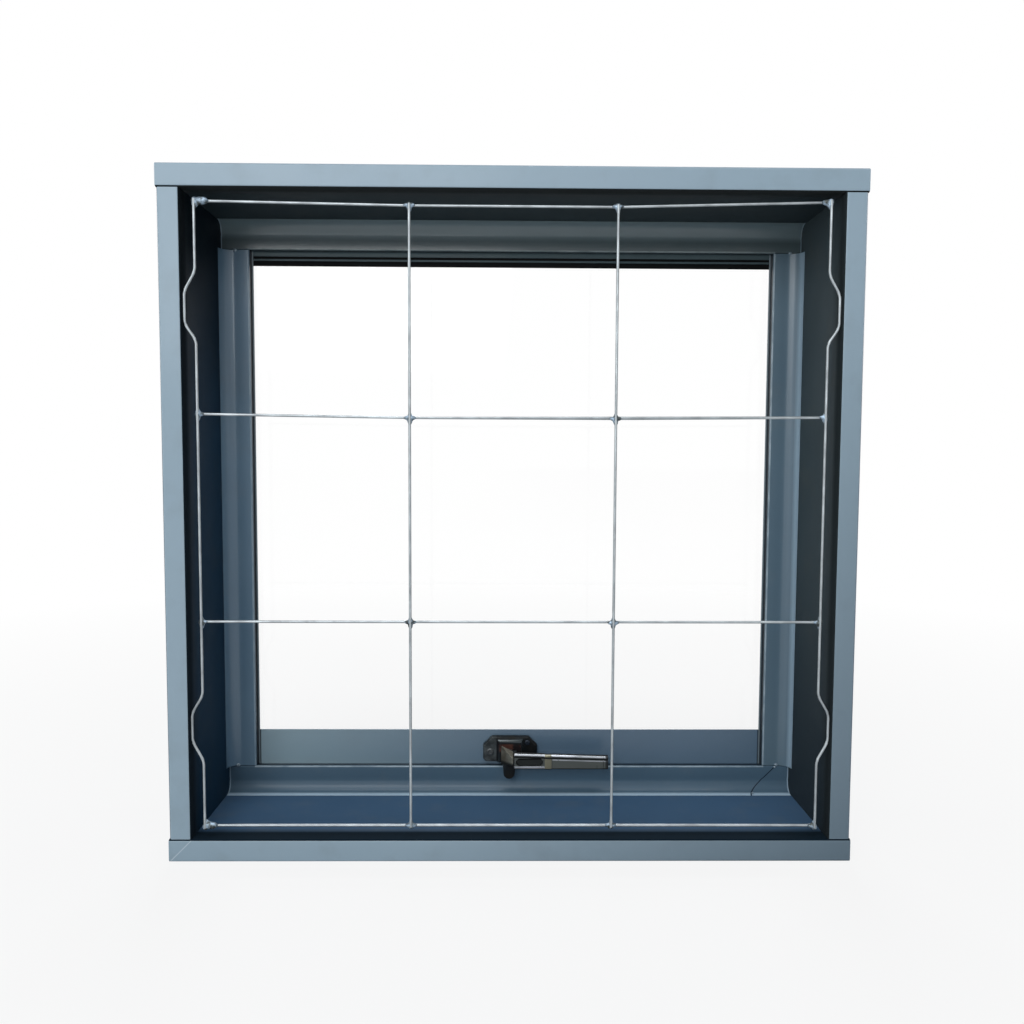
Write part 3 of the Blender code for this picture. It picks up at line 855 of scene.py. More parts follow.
@dataclass(frozen=True)
class LeverFinish(Finish):
    """The lever's grey coating, handled smooth, with painted highlights on its ridge, grip line and pocket rim, and
    painted shade in its groove, beneath it and at its ends.

    The ridge, groove and grip line are heights at the pin, and fall towards the lever's tip. The second number is a
    band's other side, or else the soft stretch that follows a place, and a third one is the share there.
    """

    name: str = "dark_lever"
    colour: Colour = (74, 79, 78)
    rubbed_tone_and_hem_highlight: Colour = (90, 93, 89)
    # painted highlight on the ridge, the grip line and the pocket's rim
    painted_highlight: Colour = (178, 182, 190)
    # painted shade in the groove, under the lever, at its end, beside the hub, behind the ridge and at the top of the
    # pocket
    painted_shade: Colour = (10, 14, 18)
    hollow: Colour = (22, 28, 28)
    worn_boss: Colour = (112, 110, 94)
    specular: float = 0.3

    FALL: ClassVar[float] = 0.029
    SOFT: ClassVar[float] = 0.3 * MM
    TONE: ClassVar[tuple[float, float, Place]] = (30.0, 4.0, (0.3, 1, 1))
    RIDGE: ClassVar[Span] = (65.1 * MM, 0.2 * MM)
    RIDGE_BACK: ClassVar[Span] = (18.2 * MM, 0.4 * MM)
    GROOVE: ClassVar[Span] = (63.3 * MM, 64.5 * MM)
    GRIP_LINE: ClassVar[Span] = (61.9 * MM, 63.1 * MM)
    GRIP_START: ClassVar[tuple[float, float, float]] = (40.4 * MM, 1.0 * MM, 0.75)
    RIM: ClassVar[Span] = (53.0 * MM, 55.0 * MM)
    RIM_END: ClassVar[tuple[float, float, float]] = (33.0 * MM, 1.0 * MM, 0.85)
    HIGHLIGHT_GRAIN: ClassVar[tuple[float, float, Place]] = (160.0, 3.0, (0.2, 1, 1))
    HIGHLIGHT_EDGE: ClassVar[Span] = (0.35, 0.6)
    HIGHLIGHT_SHARES: ClassVar[Span] = (0.55, 1.0)
    POCKET: ClassVar[Span] = (5.0 * MM, 32.0 * MM)
    POCKET_FRONT: ClassVar[Span] = (16.0 * MM, 0.3 * MM)
    POCKET_HEIGHT: ClassVar[Span] = (54.6 * MM, 62.6 * MM)
    POCKET_SHADOW: ClassVar[Span] = (60.2 * MM, 62.6 * MM)
    BOSS: ClassVar[Span] = (33.4 * MM, 40.0 * MM)
    CAP: ClassVar[tuple[float, float, float]] = (92.4 * MM, 0.6 * MM, 0.8)
    UNDERSIDE: ClassVar[Span] = (52.6 * MM, 0.6 * MM)
    ROOT: ClassVar[tuple[float, float, float]] = (3.8 * MM, 0.5 * MM, 0.9)
    GLOSS_GRAIN: ClassVar[Span] = (110.0, 4.0)
    GLOSS_SPAN: ClassVar[Span] = (0.26, 0.42)
    SHADE_ROUGHNESS: ClassVar[tuple[float, ...]] = (0.0, 0.95, 0.2, 0.9)
    METAL: ClassVar[tuple[float, ...]] = (0.1, 0.8, 0.2, 1.0)
    BUMPS: ClassVar[Span] = (800.0, 2.0)
    BUMP_DEPTH: ClassVar[float] = 0.08 * MM

    def build(self) -> bpy.types.Material:
        """Builds the lever's material.

        Returns:
            The finished material.
        """
        graph = Graph.named(self.name)
        x, y, z = graph.axes()
        height = graph.worked("ADD", graph.worked("MULTIPLY", x, self.FALL), z)
        upper = graph.past(height, *self.RIDGE)
        inside = graph.times(graph.band(x, *self.POCKET), graph.past(y, *self.POCKET_FRONT))
        bright = self.bright(graph, upper, height)
        # painted shade: the groove, the end cap, the underside, the root beside the hub, the ridge's back edge and the
        # top of the pocket
        dark = graph.most(
            graph.band(height, *self.GROOVE),
            graph.past(x, *self.CAP),
            graph.before(z, *self.UNDERSIDE),
            graph.before(x, *self.ROOT),
            graph.times(upper, graph.past(y, *self.RIDGE_BACK)),
            graph.times(inside, graph.band(z, *self.POCKET_SHADOW)),
        )
        colour = graph.overlay(graph.spread(graph.grain(*self.TONE), 0.0, 1.0), self.colour, self.rubbed_tone_and_hem_highlight)
        for share, over in ((bright, self.painted_highlight),
                            (graph.times(inside, graph.band(z, *self.POCKET_HEIGHT)), self.hollow),
                            (graph.band(x, *self.BOSS), self.worn_boss),
                            (dark, self.painted_shade)):
            colour = graph.overlay(share, colour, over)
        rough = graph.spread(graph.grain(*self.GLOSS_GRAIN), *self.GLOSS_SPAN)
        return graph.finished({
            "Base Color": colour,
            # rougher where the painted shade lies
            "Roughness": graph.most(rough, graph.spread(dark, *self.SHADE_ROUGHNESS)),
            "Normal": graph.bump(graph.grain(*self.BUMPS), self.BUMP_DEPTH),
            # the painted highlights are also more metallic
            "Metallic": graph.spread(bright, *self.METAL),
            "Specular IOR Level": self.specular,
        })

    def bright(self, graph: Graph, upper: Socket, height: Socket) -> Socket:
        """Finds the painted highlights of the ridge, the grip line and the pocket's rim.

        Args:
            graph: The material's nodes.
            upper: 1 above the ridge's lower edge.
            height: The height with the lever's fall taken out.

        Returns:
            How strong the painted highlight is at a point, 0 to 1.
        """
        x, y, z = graph.axes()
        ridge = graph.times(upper, graph.before(y, *self.RIDGE_BACK))
        grip = graph.times(graph.band(height, *self.GRIP_LINE, self.SOFT), graph.past(x, *self.GRIP_START))
        rim_highlight = graph.times(graph.band(z, *self.RIM, self.SOFT), graph.before(x, *self.RIM_END))
        # patches break up the painted highlight
        highlight_patches = graph.spread(graph.grain(*self.HIGHLIGHT_GRAIN), *self.HIGHLIGHT_SHARES, *self.HIGHLIGHT_EDGE)
        return graph.times(graph.most(ridge, grip, rim_highlight), highlight_patches)


@dataclass(frozen=True)
class FloorFinish(Finish):
    """A plain pale floor: nearly white to the camera, and still dimmed by the window's shadow.

    Mirrors see the floor in front of the window glow too, and less so on the right.
    """

    name: str = "pale_floor"
    colour: Colour = (200, 202, 204)
    roughness: float = 0.8
    glow: float = 0.86
    shadow_reach: Span = (0.3, 1.6)
    mirrored: float = 0.9
    front: Span = (-0.3, 0.0)
    right_share: float = 0.45
    right: Span = (-0.3, 0.5)

    def build(self) -> bpy.types.Material:
        """Builds the floor's material.

        Returns:
            The finished material.
        """
        graph = Graph.named(self.name)
        path = graph.node("ShaderNodeLightPath").outputs
        away = graph.vector("LENGTH", graph.place())["Value"]
        x, y, _ = graph.axes()
        seen = graph.times(path["Is Camera Ray"], graph.spread(away, self.glow, 1.0, *self.shadow_reach))
        around = graph.times(graph.spread(y, self.mirrored, 0.0, *self.front),
                             graph.spread(x, 1.0, self.right_share, *self.right))
        share = graph.worked("ADD", seen, graph.times(path["Is Glossy Ray"], around))
        glow = graph.node("ShaderNodeEmission")
        graph.show(share, graph.shader.outputs[0], glow.outputs[0], "Material Output")
        return graph.finished({"Base Color": linear(self.colour), "Roughness": self.roughness})


@dataclass
class Finishes:
    """Every material of the window, by its name."""

    made: dict[str, bpy.types.Material] = field(default_factory=dict)

    # The four walls are one slate paint in four tones, each lighter or darker as the light falls on it: painted light
    # and shade.
    REVEALS: ClassVar[tuple[Finish, ...]] = (
        RevealFinish("left_reveal_paint", (18, 43, 64), (22, 48, 68), (46, 54, 56), dusty=0.2, roughness=0.6,
                     specular=0.08, coat=0.0, front_dark=(20, 25, 28), dim=(0.36, 0.54), painted_shade_share=0.85),
        RevealFinish("right_reveal_paint", (56, 68, 74), (64, 75, 80), (78, 80, 76), dusty=0.2, roughness=0.6,
                     specular=0.1, coat=0.0, front_dark=(30, 36, 38), dim=(0.26, 0.10), painted_shade_share=0.6,
                     painted_shade_colour=(10, 22, 34)),
        RevealFinish("head_reveal_paint", (38, 50, 56), (44, 54, 58), (58, 60, 58), dusty=0.2, roughness=0.55,
                     specular=0.12, coat=0.0),
        RevealFinish("sill_paint", (68, 97, 127), (75, 103, 132), (98, 110, 120), dusty=0.2, roughness=0.6,
                     specular=0.08, coat=0.0, front_dark=(6, 20, 28), front_darkness=0.95, back=-45.0 * MM, front=-55.0 * MM),
    )
    # Each stop is the same slate paint in its own tone, lighter or darker as the light falls on its side (painted
    # light and shade); its foot, end and hollow shares set its painted highlights. The sill stop's seam is a real
    # mitre weld line.
    STOPS: ClassVar[tuple[Finish, ...]] = (
        StopFinish("sill_stop_paint", (68, 92, 110), (74, 98, 116), (98, 108, 114), roughness=0.45, specular=0.3,
                   coat=0.15, foot_share=0.95, end_share=0.6, seam=219.6 * MM),
        StopFinish("head_stop_paint", (64, 80, 86), (70, 85, 89), (90, 98, 98), rubbed_tone_and_hem_highlight=(120, 132, 136),
                   end_share=0.45, hollow_light_share=0.95, hollow_light_colour=(106, 123, 129)),
        StopFinish("left_stop_paint", (92, 120, 142), (100, 127, 147), (108, 122, 132), rubbed_tone_and_hem_highlight=(134, 154, 168)),
        StopFinish("right_stop_paint", (82, 105, 121), (90, 112, 126), (104, 114, 120), roughness=0.4, coat=0.2,
                   end=276.0 * MM, end_ramp=2.4 * MM, end_share=0.5),
        WeldFinish("stop_bead", (178, 196, 208), (122, 138, 150), metallic=0.1),
    )
    # The stiles and the rails are one paint in lit and shaded tones (painted light and shade); the lower rail darkens
    # to the right, and the stiles and the rail's ends darken in the gaps at their edges, as painted shade.
    SASH: ClassVar[tuple[Finish, ...]] = (
        PaintedLightFinish("stile_paint", (98, 114, 122), (104, 118, 126), (98, 104, 106), joint=252.2 * MM, start=1.0,
                    end=2.0),
        PaintedLightFinish("rail_paint", (132, 156, 168), (138, 162, 172), (134, 144, 148), joint=249.9 * MM,
                    shaded_tone=(83, 106, 126), way=(1.0, 0.0), start=-0.25, end=0.0),
        PaintFinish("head_rail_paint", (68, 86, 92), (73, 90, 95), (80, 90, 90), roughness=0.5, specular=0.2,
                    coat=0.1),
        PaneFinish(),
        RubberFinish(),
    )
    OTHERS: ClassVar[tuple[Finish, ...]] = (
        PaintFinish(),
        # the outermost faces: a paler, lit copy of the slate paint that darkens to the lower right, as painted light
        # and shade
        CornerFinish("lit_outer_paint", (147, 168, 182), (151, 171, 185), (124, 136, 144), dusty=0.2, roughness=0.45,
                     specular=0.3, coat=0.2),
        WireFinish(),
        WeldFinish(),
        CastingFinish(),
        BaseFinish(),
        HubFinish(),
        LeverFinish(),
        PlatedFinish(),
        PlatedFinish("left_screw", (84, 88, 90), (58, 62, 64), metallic=0.5),
        PlatedFinish("right_screw", (44, 54, 68), (30, 38, 48), metallic=0.5),
    )

    def build(self) -> None:
        """Builds all the materials once."""
        for finish in self.REVEALS + self.STOPS + self.SASH + self.OTHERS:
            self.made[finish.name] = finish.build()

    def __getitem__(self, name: str) -> bpy.types.Material:
        """Returns a material by its finish's name."""
        return self.made[name]


def add_piece(name: str, bm: bmesh.types.BMesh, material: bpy.types.Material, body: Body,
              crease: float = 40.0) -> bpy.types.Object:
    """Turns a bmesh into a smooth-shaded piece that rides on a body.

    Args:
        name: The piece's name.
        bm: Its form, which is freed.
        material: Its finish.
        body: The body that carries it.
        crease: Edges sharper than this angle, in degrees, stay crisp.

    Returns:
        The linked object.
    """
    mesh = bpy.data.meshes.new(name)
    bm.to_mesh(mesh)
    bm.free()
    mesh.materials.append(material)
    mesh.shade_smooth()
    mesh.set_sharp_from_angle(angle=math.radians(crease))
    piece = bpy.data.objects.new(name, mesh)
    flat = piece.modifiers.new("flat_faces", "WEIGHTED_NORMAL")
    flat.keep_sharp = True
    flat.weight = 90
    bpy.context.scene.collection.objects.link(piece)
    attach(piece, body.value)
    log.info("%s, on the %s", name, body.value)
    return piece


@dataclass
class Dresser:
    """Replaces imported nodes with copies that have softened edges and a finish."""

    nodes: dict[str, bpy.types.Object]
    finishes: Finishes
    seam_gap: float = 0.005 * MM
    flat_turn: float = 0.5

    def copied(self, name: str) -> bmesh.types.BMesh:
        """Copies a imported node's form, with its seams closed and its flat faces whole.

        Args:
            name: The node.

        Returns:
            The copy.
        """
        bm = bmesh.new()
        bm.from_mesh(self.nodes[name].data)
        bmesh.ops.remove_doubles(bm, verts=bm.verts, dist=self.seam_gap)
        bmesh.ops.dissolve_limit(bm, angle_limit=math.radians(self.flat_turn), verts=bm.verts, edges=bm.edges)
        return bm

    def soften(self, bm: bmesh.types.BMesh, width: float, segments: int, angle: float) -> None:
        """Bevels every edge that is sharper than an angle.

        Args:
            bm: The form to change.
            width: The bevel's width in metres.
            segments: Faces across the bevel.
            angle: The smallest turn, in degrees, that gets one.
        """
        sharp = [edge for edge in bm.edges
                 if len(edge.link_faces) == 2 and edge.calc_face_angle() > math.radians(angle)]
        bmesh.ops.bevel(bm, geom=sharp, offset=width, offset_type="OFFSET", affect="EDGES", segments=segments,
                        profile=0.5, material=-1, clamp_overlap=True)

    def dress(self, names: Iterable[str], slot: str, width: float, segments: int = 2, body: Body = Body.WINDOW,
              angle: float = 35.0, finish: str = "",
              shape: Callable[[str, bmesh.types.BMesh], None] | None = None) -> list[bpy.types.Object]:
        """Dresses some nodes alike.

        Args:
            names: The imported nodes.
            slot: The material slot, which is also the finish's name where no other is given.
            width: The bevel's width in metres, or 0 for none.
            segments: Faces across the bevel.
            body: The body that carries them.
            angle: The smallest turn, in degrees, that is bevelled.
            finish: The finish's name.
            shape: Called with a name and its form before the bevel, to refine it.

        Returns:
            The new pieces.
        """
        pieces = []
        for name in names:
            bm = self.copied(name)
            if shape:
                shape(name, bm)
            if width:
                self.soften(bm, width, segments, angle)
            piece = add_piece(f"dressed_{name}", bm, self.finishes[finish or slot], body)
            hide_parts(name)
            pieces.append(piece)
        return pieces


@dataclass
class FrameDress:
    """The folded frame, its stops and the sash, with their paints, the seals, the stays and the pane.

    The lumps of weld where the stops meet are given in millimetres, by their place and their radius.
    """

    dresser: Dresser
    edge: float = 0.25 * MM
    outer_face: float = 69.6 * MM
    outer_side: float = 298.6 * MM
    stop_end: float = 272.5 * MM
    wall: float = 279.8 * MM
    stop_foot: float = 47.4 * MM
    bead_shape: Place = (1.15, 0.8, 0.9)
    sideways: float = 0.1 * MM

    BEADS: ClassVar[tuple[tuple[Place, float], ...]] = (
        ((-270.6, 39.6, 48.0), 1.7), ((266.9, 39.6, 48.4), 1.6), ((265.5, 39.2, 46.2), 0.9),
        ((242.1, 32.2, 22.2), 1.1), ((-266.3, 39.6, 552.4), 1.7), ((268.6, 39.6, 553.0), 1.5))
    FRAME: ClassVar[dict[str, str]] = {
        "head_frame": "head_reveal_paint",
        "left_jamb": "left_reveal_paint",
        "right_jamb": "right_reveal_paint",
        "sill_frame": "sill_paint",
    }
    INSIDE: ClassVar[dict[str, str]] = {
        "sill_stop": "sill_stop_paint",
        "head_stop": "head_stop_paint",
        "left_stop": "left_stop_paint",
        "right_stop": "right_stop_paint",
        "sash_left_stile": "stile_paint",
        "sash_right_stile": "stile_paint",
        "sash_bottom_rail": "rail_paint",
        "sash_head_rail": "head_rail_paint",
        "head_inner_bead": "head_rail_paint",
        "left_bead": "grey_paint",
        "right_bead": "grey_paint",
        "bottom_bead": "grey_paint",
        "head_bead": "grey_paint",
    }
    SEALS: ClassVar[tuple[str, ...]] = ("sill_seal", "head_seal", "left_seal", "right_seal", "inner_gasket")
    STAYS: ClassVar[tuple[str, ...]] = ("left_stay", "right_stay")

    def build(self) -> None:
        """Dresses the painted sheet, the seals, the stays and the pane."""
        for name, finish in self.FRAME.items():
            for member in self.dresser.dress([name], "grey_paint", self.edge, finish=finish):
                self.paint_outer_light(member)
        for name, finish in self.INSIDE.items():
            self.dresser.dress([name], "grey_paint", self.edge, finish=finish, shape=self.fit_stops)
        self.beads()
        self.dresser.dress(self.SEALS, "black_rubber", self.edge)
        self.dresser.dress(self.STAYS, "bright_steel", self.edge)
        pane = self.dresser.nodes["glass_pane"]
        pane.data.materials.clear()
        pane.data.materials.append(self.dresser.finishes["clear_glass"])

    def fit_stops(self, name: str, bm: bmesh.types.BMesh) -> None:
        """Runs the sill stop from wall to wall and stands the side stops on it.

        Args:
            name: The piece's name.
            bm: Its form.
        """
        if name == "sill_stop":
            for vert in bm.verts:
                if abs(vert.co.x) > self.stop_end:
                    vert.co.x = math.copysign(self.wall, vert.co.x)
        elif name in ("left_stop", "right_stop"):
            cut = bmesh.ops.bisect_plane(bm, geom=bm.verts[:] + bm.edges[:] + bm.faces[:],
                                         plane_co=(0, 0, self.stop_foot), plane_no=(0, 0, -1), clear_outer=True)
            open_edges = [part for part in cut["geom_cut"] if isinstance(part, bmesh.types.BMEdge)]
            bmesh.ops.holes_fill(bm, edges=open_edges, sides=0)
            bmesh.ops.recalc_face_normals(bm, faces=bm.faces)

    def beads(self) -> None:
        """Adds the small lumps of weld where the stops meet."""
        for index, (place, radius) in enumerate(self.BEADS, 1):
            bm = bmesh.new()
            bmesh.ops.create_icosphere(bm, subdivisions=3, radius=radius * MM)
            bmesh.ops.scale(bm, vec=self.bead_shape, verts=bm.verts)
            bmesh.ops.translate(bm, vec=Vector(place) * MM, verts=bm.verts)
            add_piece(f"stop_weld_{index}", bm, self.dresser.finishes["stop_bead"], Body.WINDOW,
                      LUMP_CREASE)

    def paint_outer_light(self, member: bpy.types.Object) -> None:
        """Gives a member's outermost faces the paler, lit paint (painted light), and the sides that turn to the wall
        plain paint.

        Args:
            member: A dressed member of the frame.
        """
        for finish in ("lit_outer_paint", "grey_paint"):
            member.data.materials.append(self.dresser.finishes[finish])
        for face in member.data.polygons:
            away = face.center - Vector((0.0, 0.0, MIDDLE_HEIGHT))
            if abs(away.y) > self.outer_face or max(abs(away.x), abs(away.z)) > self.outer_side:
                face.material_index = 1
            elif face.normal.x * away.x + face.normal.z * away.z > -self.sideways:
                face.material_index = 2


@dataclass
class GrilleDress:
    """The wires and the sixteen lumps of weld where they cross.

    A lump is drawn out along its wires by its arms. At the grille's corners it also reaches along the level wire and
    fills the corner with a web, by the sizes given for its column and row. A higher taper makes an arm slimmer.
    """

    dresser: Dresser
    thinner: float = 0.3 * MM
    cuts: int = 6
    blur: int = 4
    crossing_half: float = 6.0 * MM
    knot_radius: float = 2.6 * MM
    lumpiness: float = 0.14
    lump_scale: float = 1.8
    noise_reach: float = 90.0
    arm: float = 2.53 * MM
    arm_taper: int = 9
    reach_taper: int = 7
    web_taper: int = 3
    sag: float = 0.35
    flatness: float = 0.92
    seed: int = 7

    WIRES: ClassVar[range] = range(1, 5)
    CORNERS: ClassVar[dict[tuple[int, int], Span]] = {
        (1, 4): (6.5 * MM, 1.6 * MM),
        (1, 1): (4.5 * MM, 2.4 * MM),
        (4, 4): (2.0 * MM, 1.6 * MM),
        (4, 1): (0.5 * MM, 0.8 * MM),
    }
    TABS: ClassVar[tuple[tuple[float, ...], ...]] = (
        (89.4 * MM, 106.5 * MM, 132.0 * MM, 147.4 * MM),
        (453.5 * MM, 466.9 * MM, 494.7 * MM, 511.0 * MM),
    )

    def build(self) -> None:
        """Dresses the wires and adds the weld."""
        names = [f"grille_{way}_{index}" for way in ("upright", "level") for index in self.WIRES]
        self.dresser.dress(names, "galvanised_wire", 0, shape=self.refine)
        rng = random.Random(self.seed)
        for column in self.WIRES:
            for row in self.WIRES:
                self.knot(column, row, rng)

    def bowed(self, height: float) -> float:
        """Finds how far an outer upright bows out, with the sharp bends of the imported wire.

        Args:
            height: A height on the wire.

        Returns:
            The bow, from 0 to 1.
        """
        for start, flat, flat_end, end in self.TABS:
            if start < height < end:
                return min((height - start) / (flat - start), 1.0, (end - height) / (end - flat_end))
        return 0.0

    def refine(self, name: str, bm: bmesh.types.BMesh) -> None:
        """Rounds the outer uprights' bends and thins every wire a little.

        Args:
            name: The wire's name.
            bm: Its form.
        """
        if name in ("grille_upright_1", "grille_upright_4"):
            for turn in (turn for tab in self.TABS for turn in tab):
                for step in range(-self.cuts, self.cuts + 1):
                    bmesh.ops.bisect_plane(bm, geom=bm.verts[:] + bm.edges[:] + bm.faces[:],
                                           plane_co=(0, 0, turn + step * MM), plane_no=(0, 0, 1))
            low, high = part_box(name)
            bow = math.copysign(high[0] - low[0] - (high[1] - low[1]), low[0])
            for vert in bm.verts:
                near = [self.bowed(vert.co.z + step * MM) for step in range(-self.blur, self.blur + 1)]
                vert.co.x += bow * (sum(near) / len(near) - self.bowed(vert.co.z))
        bm.normal_update()
        moves = [(vert, vert.normal.copy()) for vert in bm.verts]
        for vert, normal in moves:
            vert.co -= normal * self.thinner

    def crossing(self, column: int, row: int) -> Vector:
        """Finds where an upright and a level wire cross.

        Args:
            column: The upright's number.
            row: The level wire's number.

        Returns:
            The middle of the crossing.
        """
        upright, level = self.dresser.nodes[f"grille_upright_{column}"], self.dresser.nodes[f"grille_level_{row}"]
        level_low, level_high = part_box(level.name)
        upright_low, upright_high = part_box(upright.name)
        wire = upright_high[1] - upright_low[1]
        if column in (1, 4):
            inward = upright_high[0] - wire / 2 if column == 1 else upright_low[0] + wire / 2
        else:
            inward = (upright_low[0] + upright_high[0]) / 2
        near = [vert.co.z for vert in level.data.vertices if abs(vert.co.x - inward) < self.crossing_half]
        height = sum(near) / len(near) if near else (level_low[2] + level_high[2]) / 2
        return Vector((inward, (upright_low[1] + level_high[1]) / 2, height))

    def knot(self, column: int, row: int, rng: random.Random) -> None:
        """Adds one lump: round in its middle, drawn out along the wires and hanging a little below them.

        Args:
            column: The upright's number.
            row: The level wire's number.
            rng: Where the lump's unevenness comes from.
        """
        bm = bmesh.new()
        bmesh.ops.create_icosphere(bm, subdivisions=4, radius=1.0)
        centre = self.crossing(column, row)
        offset = Vector([rng.uniform(-self.noise_reach, self.noise_reach) for _ in range(3)])
        arms = [Vector(way) for way, runs in (((1, 0, 0), column < 4), ((-1, 0, 0), column > 1),
                                              ((0, 0, 1), row < 4), ((0, 0, -1), row > 1)) if runs]
        for vert in bm.verts:
            way = vert.co.normalized()
            radius = self.knot_radius * (1 + self.lumpiness * noise.noise(way * self.lump_scale + offset))
            radius += sum(self.arm * max(way.dot(arm), 0) ** self.arm_taper for arm in arms)
            if len(arms) == 2:
                reach, web = self.CORNERS[column, row]
                radius += reach * max(way.dot(arms[0]), 0) ** self.reach_taper
                radius += web * max(way.dot((arms[0] + arms[1]).normalized()), 0) ** self.web_taper
            if way.z < 0:
                radius += self.knot_radius * self.sag * (-way.z) ** 2
            vert.co = centre + Vector((way.x, way.y * self.flatness, way.z)) * radius
        add_piece(f"weld_knot_{column}_{row}", bm, self.dresser.finishes["weld_bead"], Body.WINDOW,
                  LUMP_CREASE)


@dataclass
class HandleDress:
    """The cam handle: a worn black base, hub and tongue, a lever with bright ridges, the pin and two screws.

    A screw's profile runs from the middle of its socket over its head to its back, in shares of its radius and of its
    thickness.
    """

    dresser: Dresser
    casting_edge: float = 0.6 * MM
    casting_angle: float = 20.0
    lever_edge: float = 0.45 * MM
    lever_angle: float = 25.0
    pin_edge: float = 0.3 * MM
    screw_sides: int = 32
    screw_seam: float = 0.002 * MM

    SCREW: ClassVar[tuple[Span, ...]] = (
        (0.0, 0.75), (0.42, 0.75), (0.5, 0.05), (0.72, 0.0), (0.9, 0.25), (1.0, 0.7), (1.0, 1.0), (0.0, 1.0))

    def build(self) -> None:
        """Dresses the handle's pieces and turns its screws."""
        for name, body, finish in (("handle_base", Body.WINDOW, "base_casting"),
                                   ("handle_hub", Body.HANDLE, "worn_casting"),
                                   ("handle_tongue", Body.HANDLE, "black_casting")):
            self.dresser.dress([name], "black_casting", self.casting_edge, 3, body, self.casting_angle, finish)
        self.dresser.dress(["handle_lever"], "dark_lever", self.lever_edge, 3, Body.HANDLE, self.lever_angle)
        self.dresser.dress(["handle_pin"], "bright_steel", self.pin_edge, body=Body.HANDLE)
        for finish in ("left_screw", "right_screw"):
            self.screw(f"handle_{finish}", finish)

    def screw(self, name: str, finish: str) -> None:
        """Turns a screw head with a round socket, in place of a plain disc.

        Args:
            name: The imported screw.
            finish: Its finish's name.
        """
        low, high = (Vector(corner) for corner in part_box(name))
        centre, radius, rise = (low + high) / 2, (high.x - low.x) / 2, high.y - low.y
        bm = bmesh.new()
        verts = [bm.verts.new((radius * across, low.y + rise * deep, 0)) for across, deep in self.SCREW]
        edges = [bm.edges.new(pair) for pair in zip(verts, verts[1:])]
        bmesh.ops.spin(bm, geom=verts + edges, cent=(0, 0, 0), axis=(0, 1, 0), angle=math.tau,
                       steps=self.screw_sides, use_merge=True)
        bmesh.ops.remove_doubles(bm, verts=bm.verts, dist=self.screw_seam)
        bmesh.ops.recalc_face_normals(bm, faces=bm.faces)
        bmesh.ops.translate(bm, vec=(centre.x, 0, centre.z), verts=bm.verts)
        piece = add_piece(f"turned_{name}", bm, self.dresser.finishes[finish], Body.WINDOW)
        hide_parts(name)


@dataclass(frozen=True)
class PhotoCamera:
    """The camera that took the photograph, fitted to the frame's edges: its place in millimetres, turns in degrees."""

    place: Place = (-9.62, -828.57, 358.68)
    yaw: float = 0.69
    pitch: float = 3.76
    roll: float = 0.26
    focal_px: float = 886.13
    picture_px: float = 1024.0
    sensor: float = 36.0

    def build(self) -> None:
        """Makes the camera the scene's own."""
        yaw, pitch, roll = (math.radians(angle) for angle in (self.yaw, self.pitch, self.roll))
        ahead = Vector((math.sin(yaw) * math.cos(pitch), math.cos(yaw) * math.cos(pitch), -math.sin(pitch)))
        level = Vector((math.cos(yaw), -math.sin(yaw), 0))
        upright = level.cross(ahead)
        right = level * math.cos(roll) + upright * math.sin(roll)
        up = upright * math.cos(roll) - level * math.sin(roll)
        data = bpy.data.cameras.new("photo_camera")
        data.sensor_width = self.sensor
        data.lens = self.focal_px / self.picture_px * self.sensor
        camera = bpy.data.objects.new("photo_camera", data)
        turn = Matrix((right, up, -ahead)).transposed().to_4x4()
        camera.matrix_world = Matrix.Translation(Vector(self.place) * MM) @ turn
        bpy.context.scene.collection.objects.link(camera)
        bpy.context.scene.camera = camera


@dataclass(frozen=True)
class Lamp:
    """A soft rectangular lamp, whose glow of 1 looks white where it is mirrored whole."""

    use: Light
    place: Place
    target: Place
    size: Span
    glow: float
    colour: Colour = (250, 253, 255)

    def build(self) -> None:
        """Adds the lamp to the scene."""
        data = bpy.data.lights.new(self.use.value, "AREA")
        data.shape = "RECTANGLE"
        data.size, data.size_y = self.size
        data.energy = self.glow * math.pi * self.size[0] * self.size[1]
        data.color = linear(self.colour)[:3]
        lamp = bpy.data.objects.new(self.use.value, data)
        lamp.location = self.place
        lamp.rotation_euler = (Vector(self.target) - lamp.location).to_track_quat("-Z", "Y").to_euler()
        bpy.context.scene.collection.objects.link(lamp)


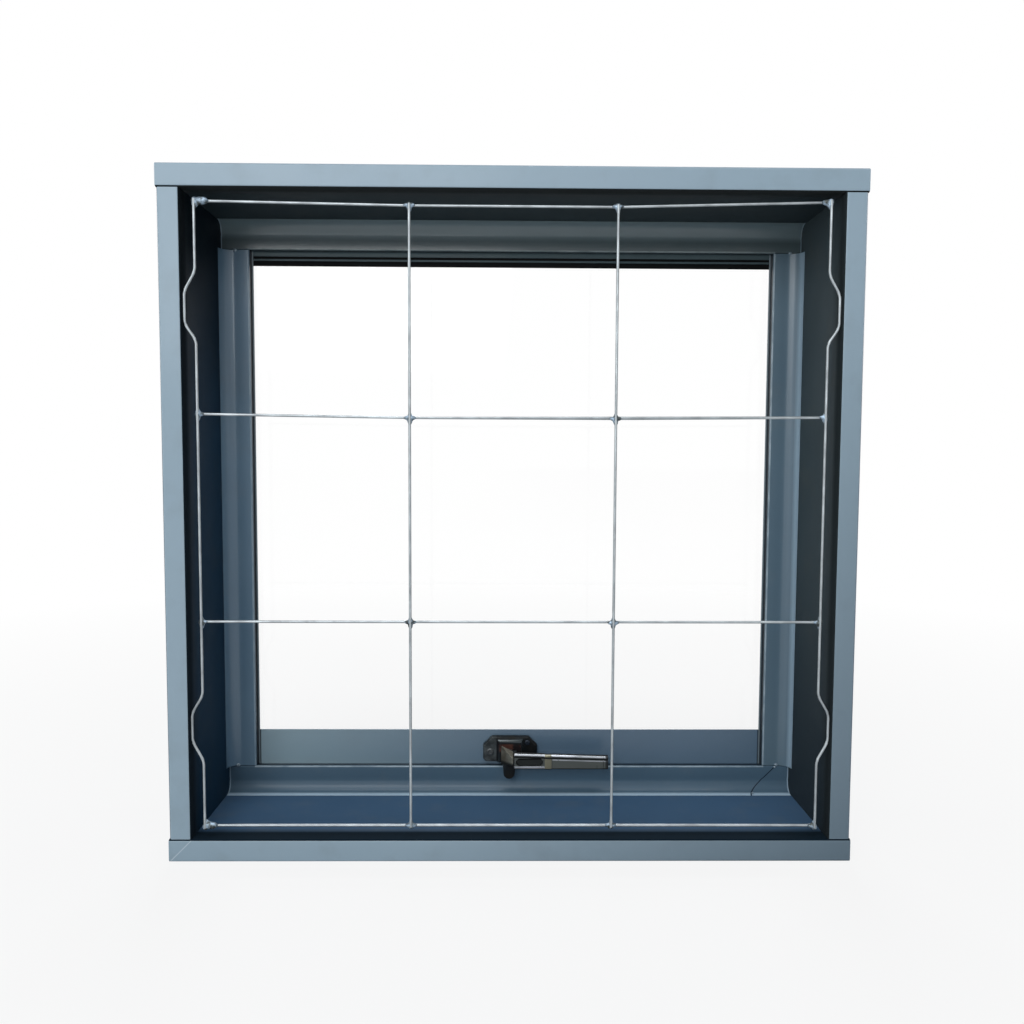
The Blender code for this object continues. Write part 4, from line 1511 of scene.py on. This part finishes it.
@dataclass(frozen=True)
class Studio:
    """A plain pale floor, a white surround and soft lamps: four before the window, three behind it and beside it."""

    floor_size: float = 40.0
    ambient: float = 0.02
    ambient_colour: Colour = (215, 228, 240)
    lamps: tuple[Lamp, ...] = (
        Lamp(Light.KEY, (-0.8, -3.0, 1.6), (0.0, 0.0, 0.4), (1.8, 1.8), 5.2),
        Lamp(Light.LEFT, (-3.3, -1.7, 1.2), (0.0, 0.0, 0.4), (0.8, 2.4), 2.2),
        Lamp(Light.RIGHT, (3.3, -1.7, 1.2), (0.0, 0.0, 0.4), (0.8, 2.0), 0.4),
        Lamp(Light.TOP, (0.0, -1.3, 2.7), (0.0, 0.0, 0.2), (2.6, 0.4), 7.0),
        Lamp(Light.OUTSIDE, (0.0, 12.0, 7.6), (0.0, 0.0, 0.3), (6.0, 1.6), 26.0),
        Lamp(Light.LEFT_SIDE, (-4.5, 0.6, 1.5), (0.0, 0.0, 0.3), (1.5, 1.5), 6.0),
        Lamp(Light.RIGHT_SIDE, (4.5, 0.6, 1.5), (0.0, 0.0, 0.3), (1.5, 1.5), 6.0),
    )

    def build(self) -> None:
        """Makes the world, the lamps and the floor."""
        self.surround()
        for lamp in self.lamps:
            lamp.build()
        bm = bmesh.new()
        half = self.floor_size / 2
        bm.faces.new([bm.verts.new((half * right, half * back, 0))
                      for right, back in ((-1, -1), (1, -1), (1, 1), (-1, 1))])
        mesh = bpy.data.meshes.new("floor")
        bm.to_mesh(mesh)
        bm.free()
        mesh.materials.append(FloorFinish().build())
        floor = bpy.data.objects.new("floor", mesh)
        bpy.context.scene.collection.objects.link(floor)

    def surround(self) -> None:
        """Makes the world: white to the eye, in mirrors and through glass, and dim to the object."""
        world = bpy.data.worlds.new("surround")
        world.use_nodes = True
        bpy.context.scene.world = world
        graph = Graph(world)
        path = graph.node("ShaderNodeLightPath").outputs
        white = graph.node("ShaderNodeBackground")
        white.inputs["Color"].default_value = (1, 1, 1, 1)
        dim = world.node_tree.nodes["Background"]
        dim.inputs["Color"].default_value = linear(self.ambient_colour)
        dim.inputs["Strength"].default_value = self.ambient
        seen = graph.most(path["Is Camera Ray"], path["Is Glossy Ray"], path["Is Transmission Ray"])
        graph.show(seen, dim.outputs[0], white.outputs[0], "World Output")


def main() -> None:
    """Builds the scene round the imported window."""
    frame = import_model()
    PhotoCamera().build()
    finishes = Finishes()
    finishes.build()
    dresser = Dresser(frame["nodes"], finishes)
    FrameDress(dresser).build()
    GrilleDress(dresser).build()
    HandleDress(dresser).build()
    Studio().build()
    bpy.context.scene.view_settings.view_transform = "Standard"


if __name__ == "__main__":
    logging.basicConfig(level=logging.INFO, format="%(message)s")
    main()
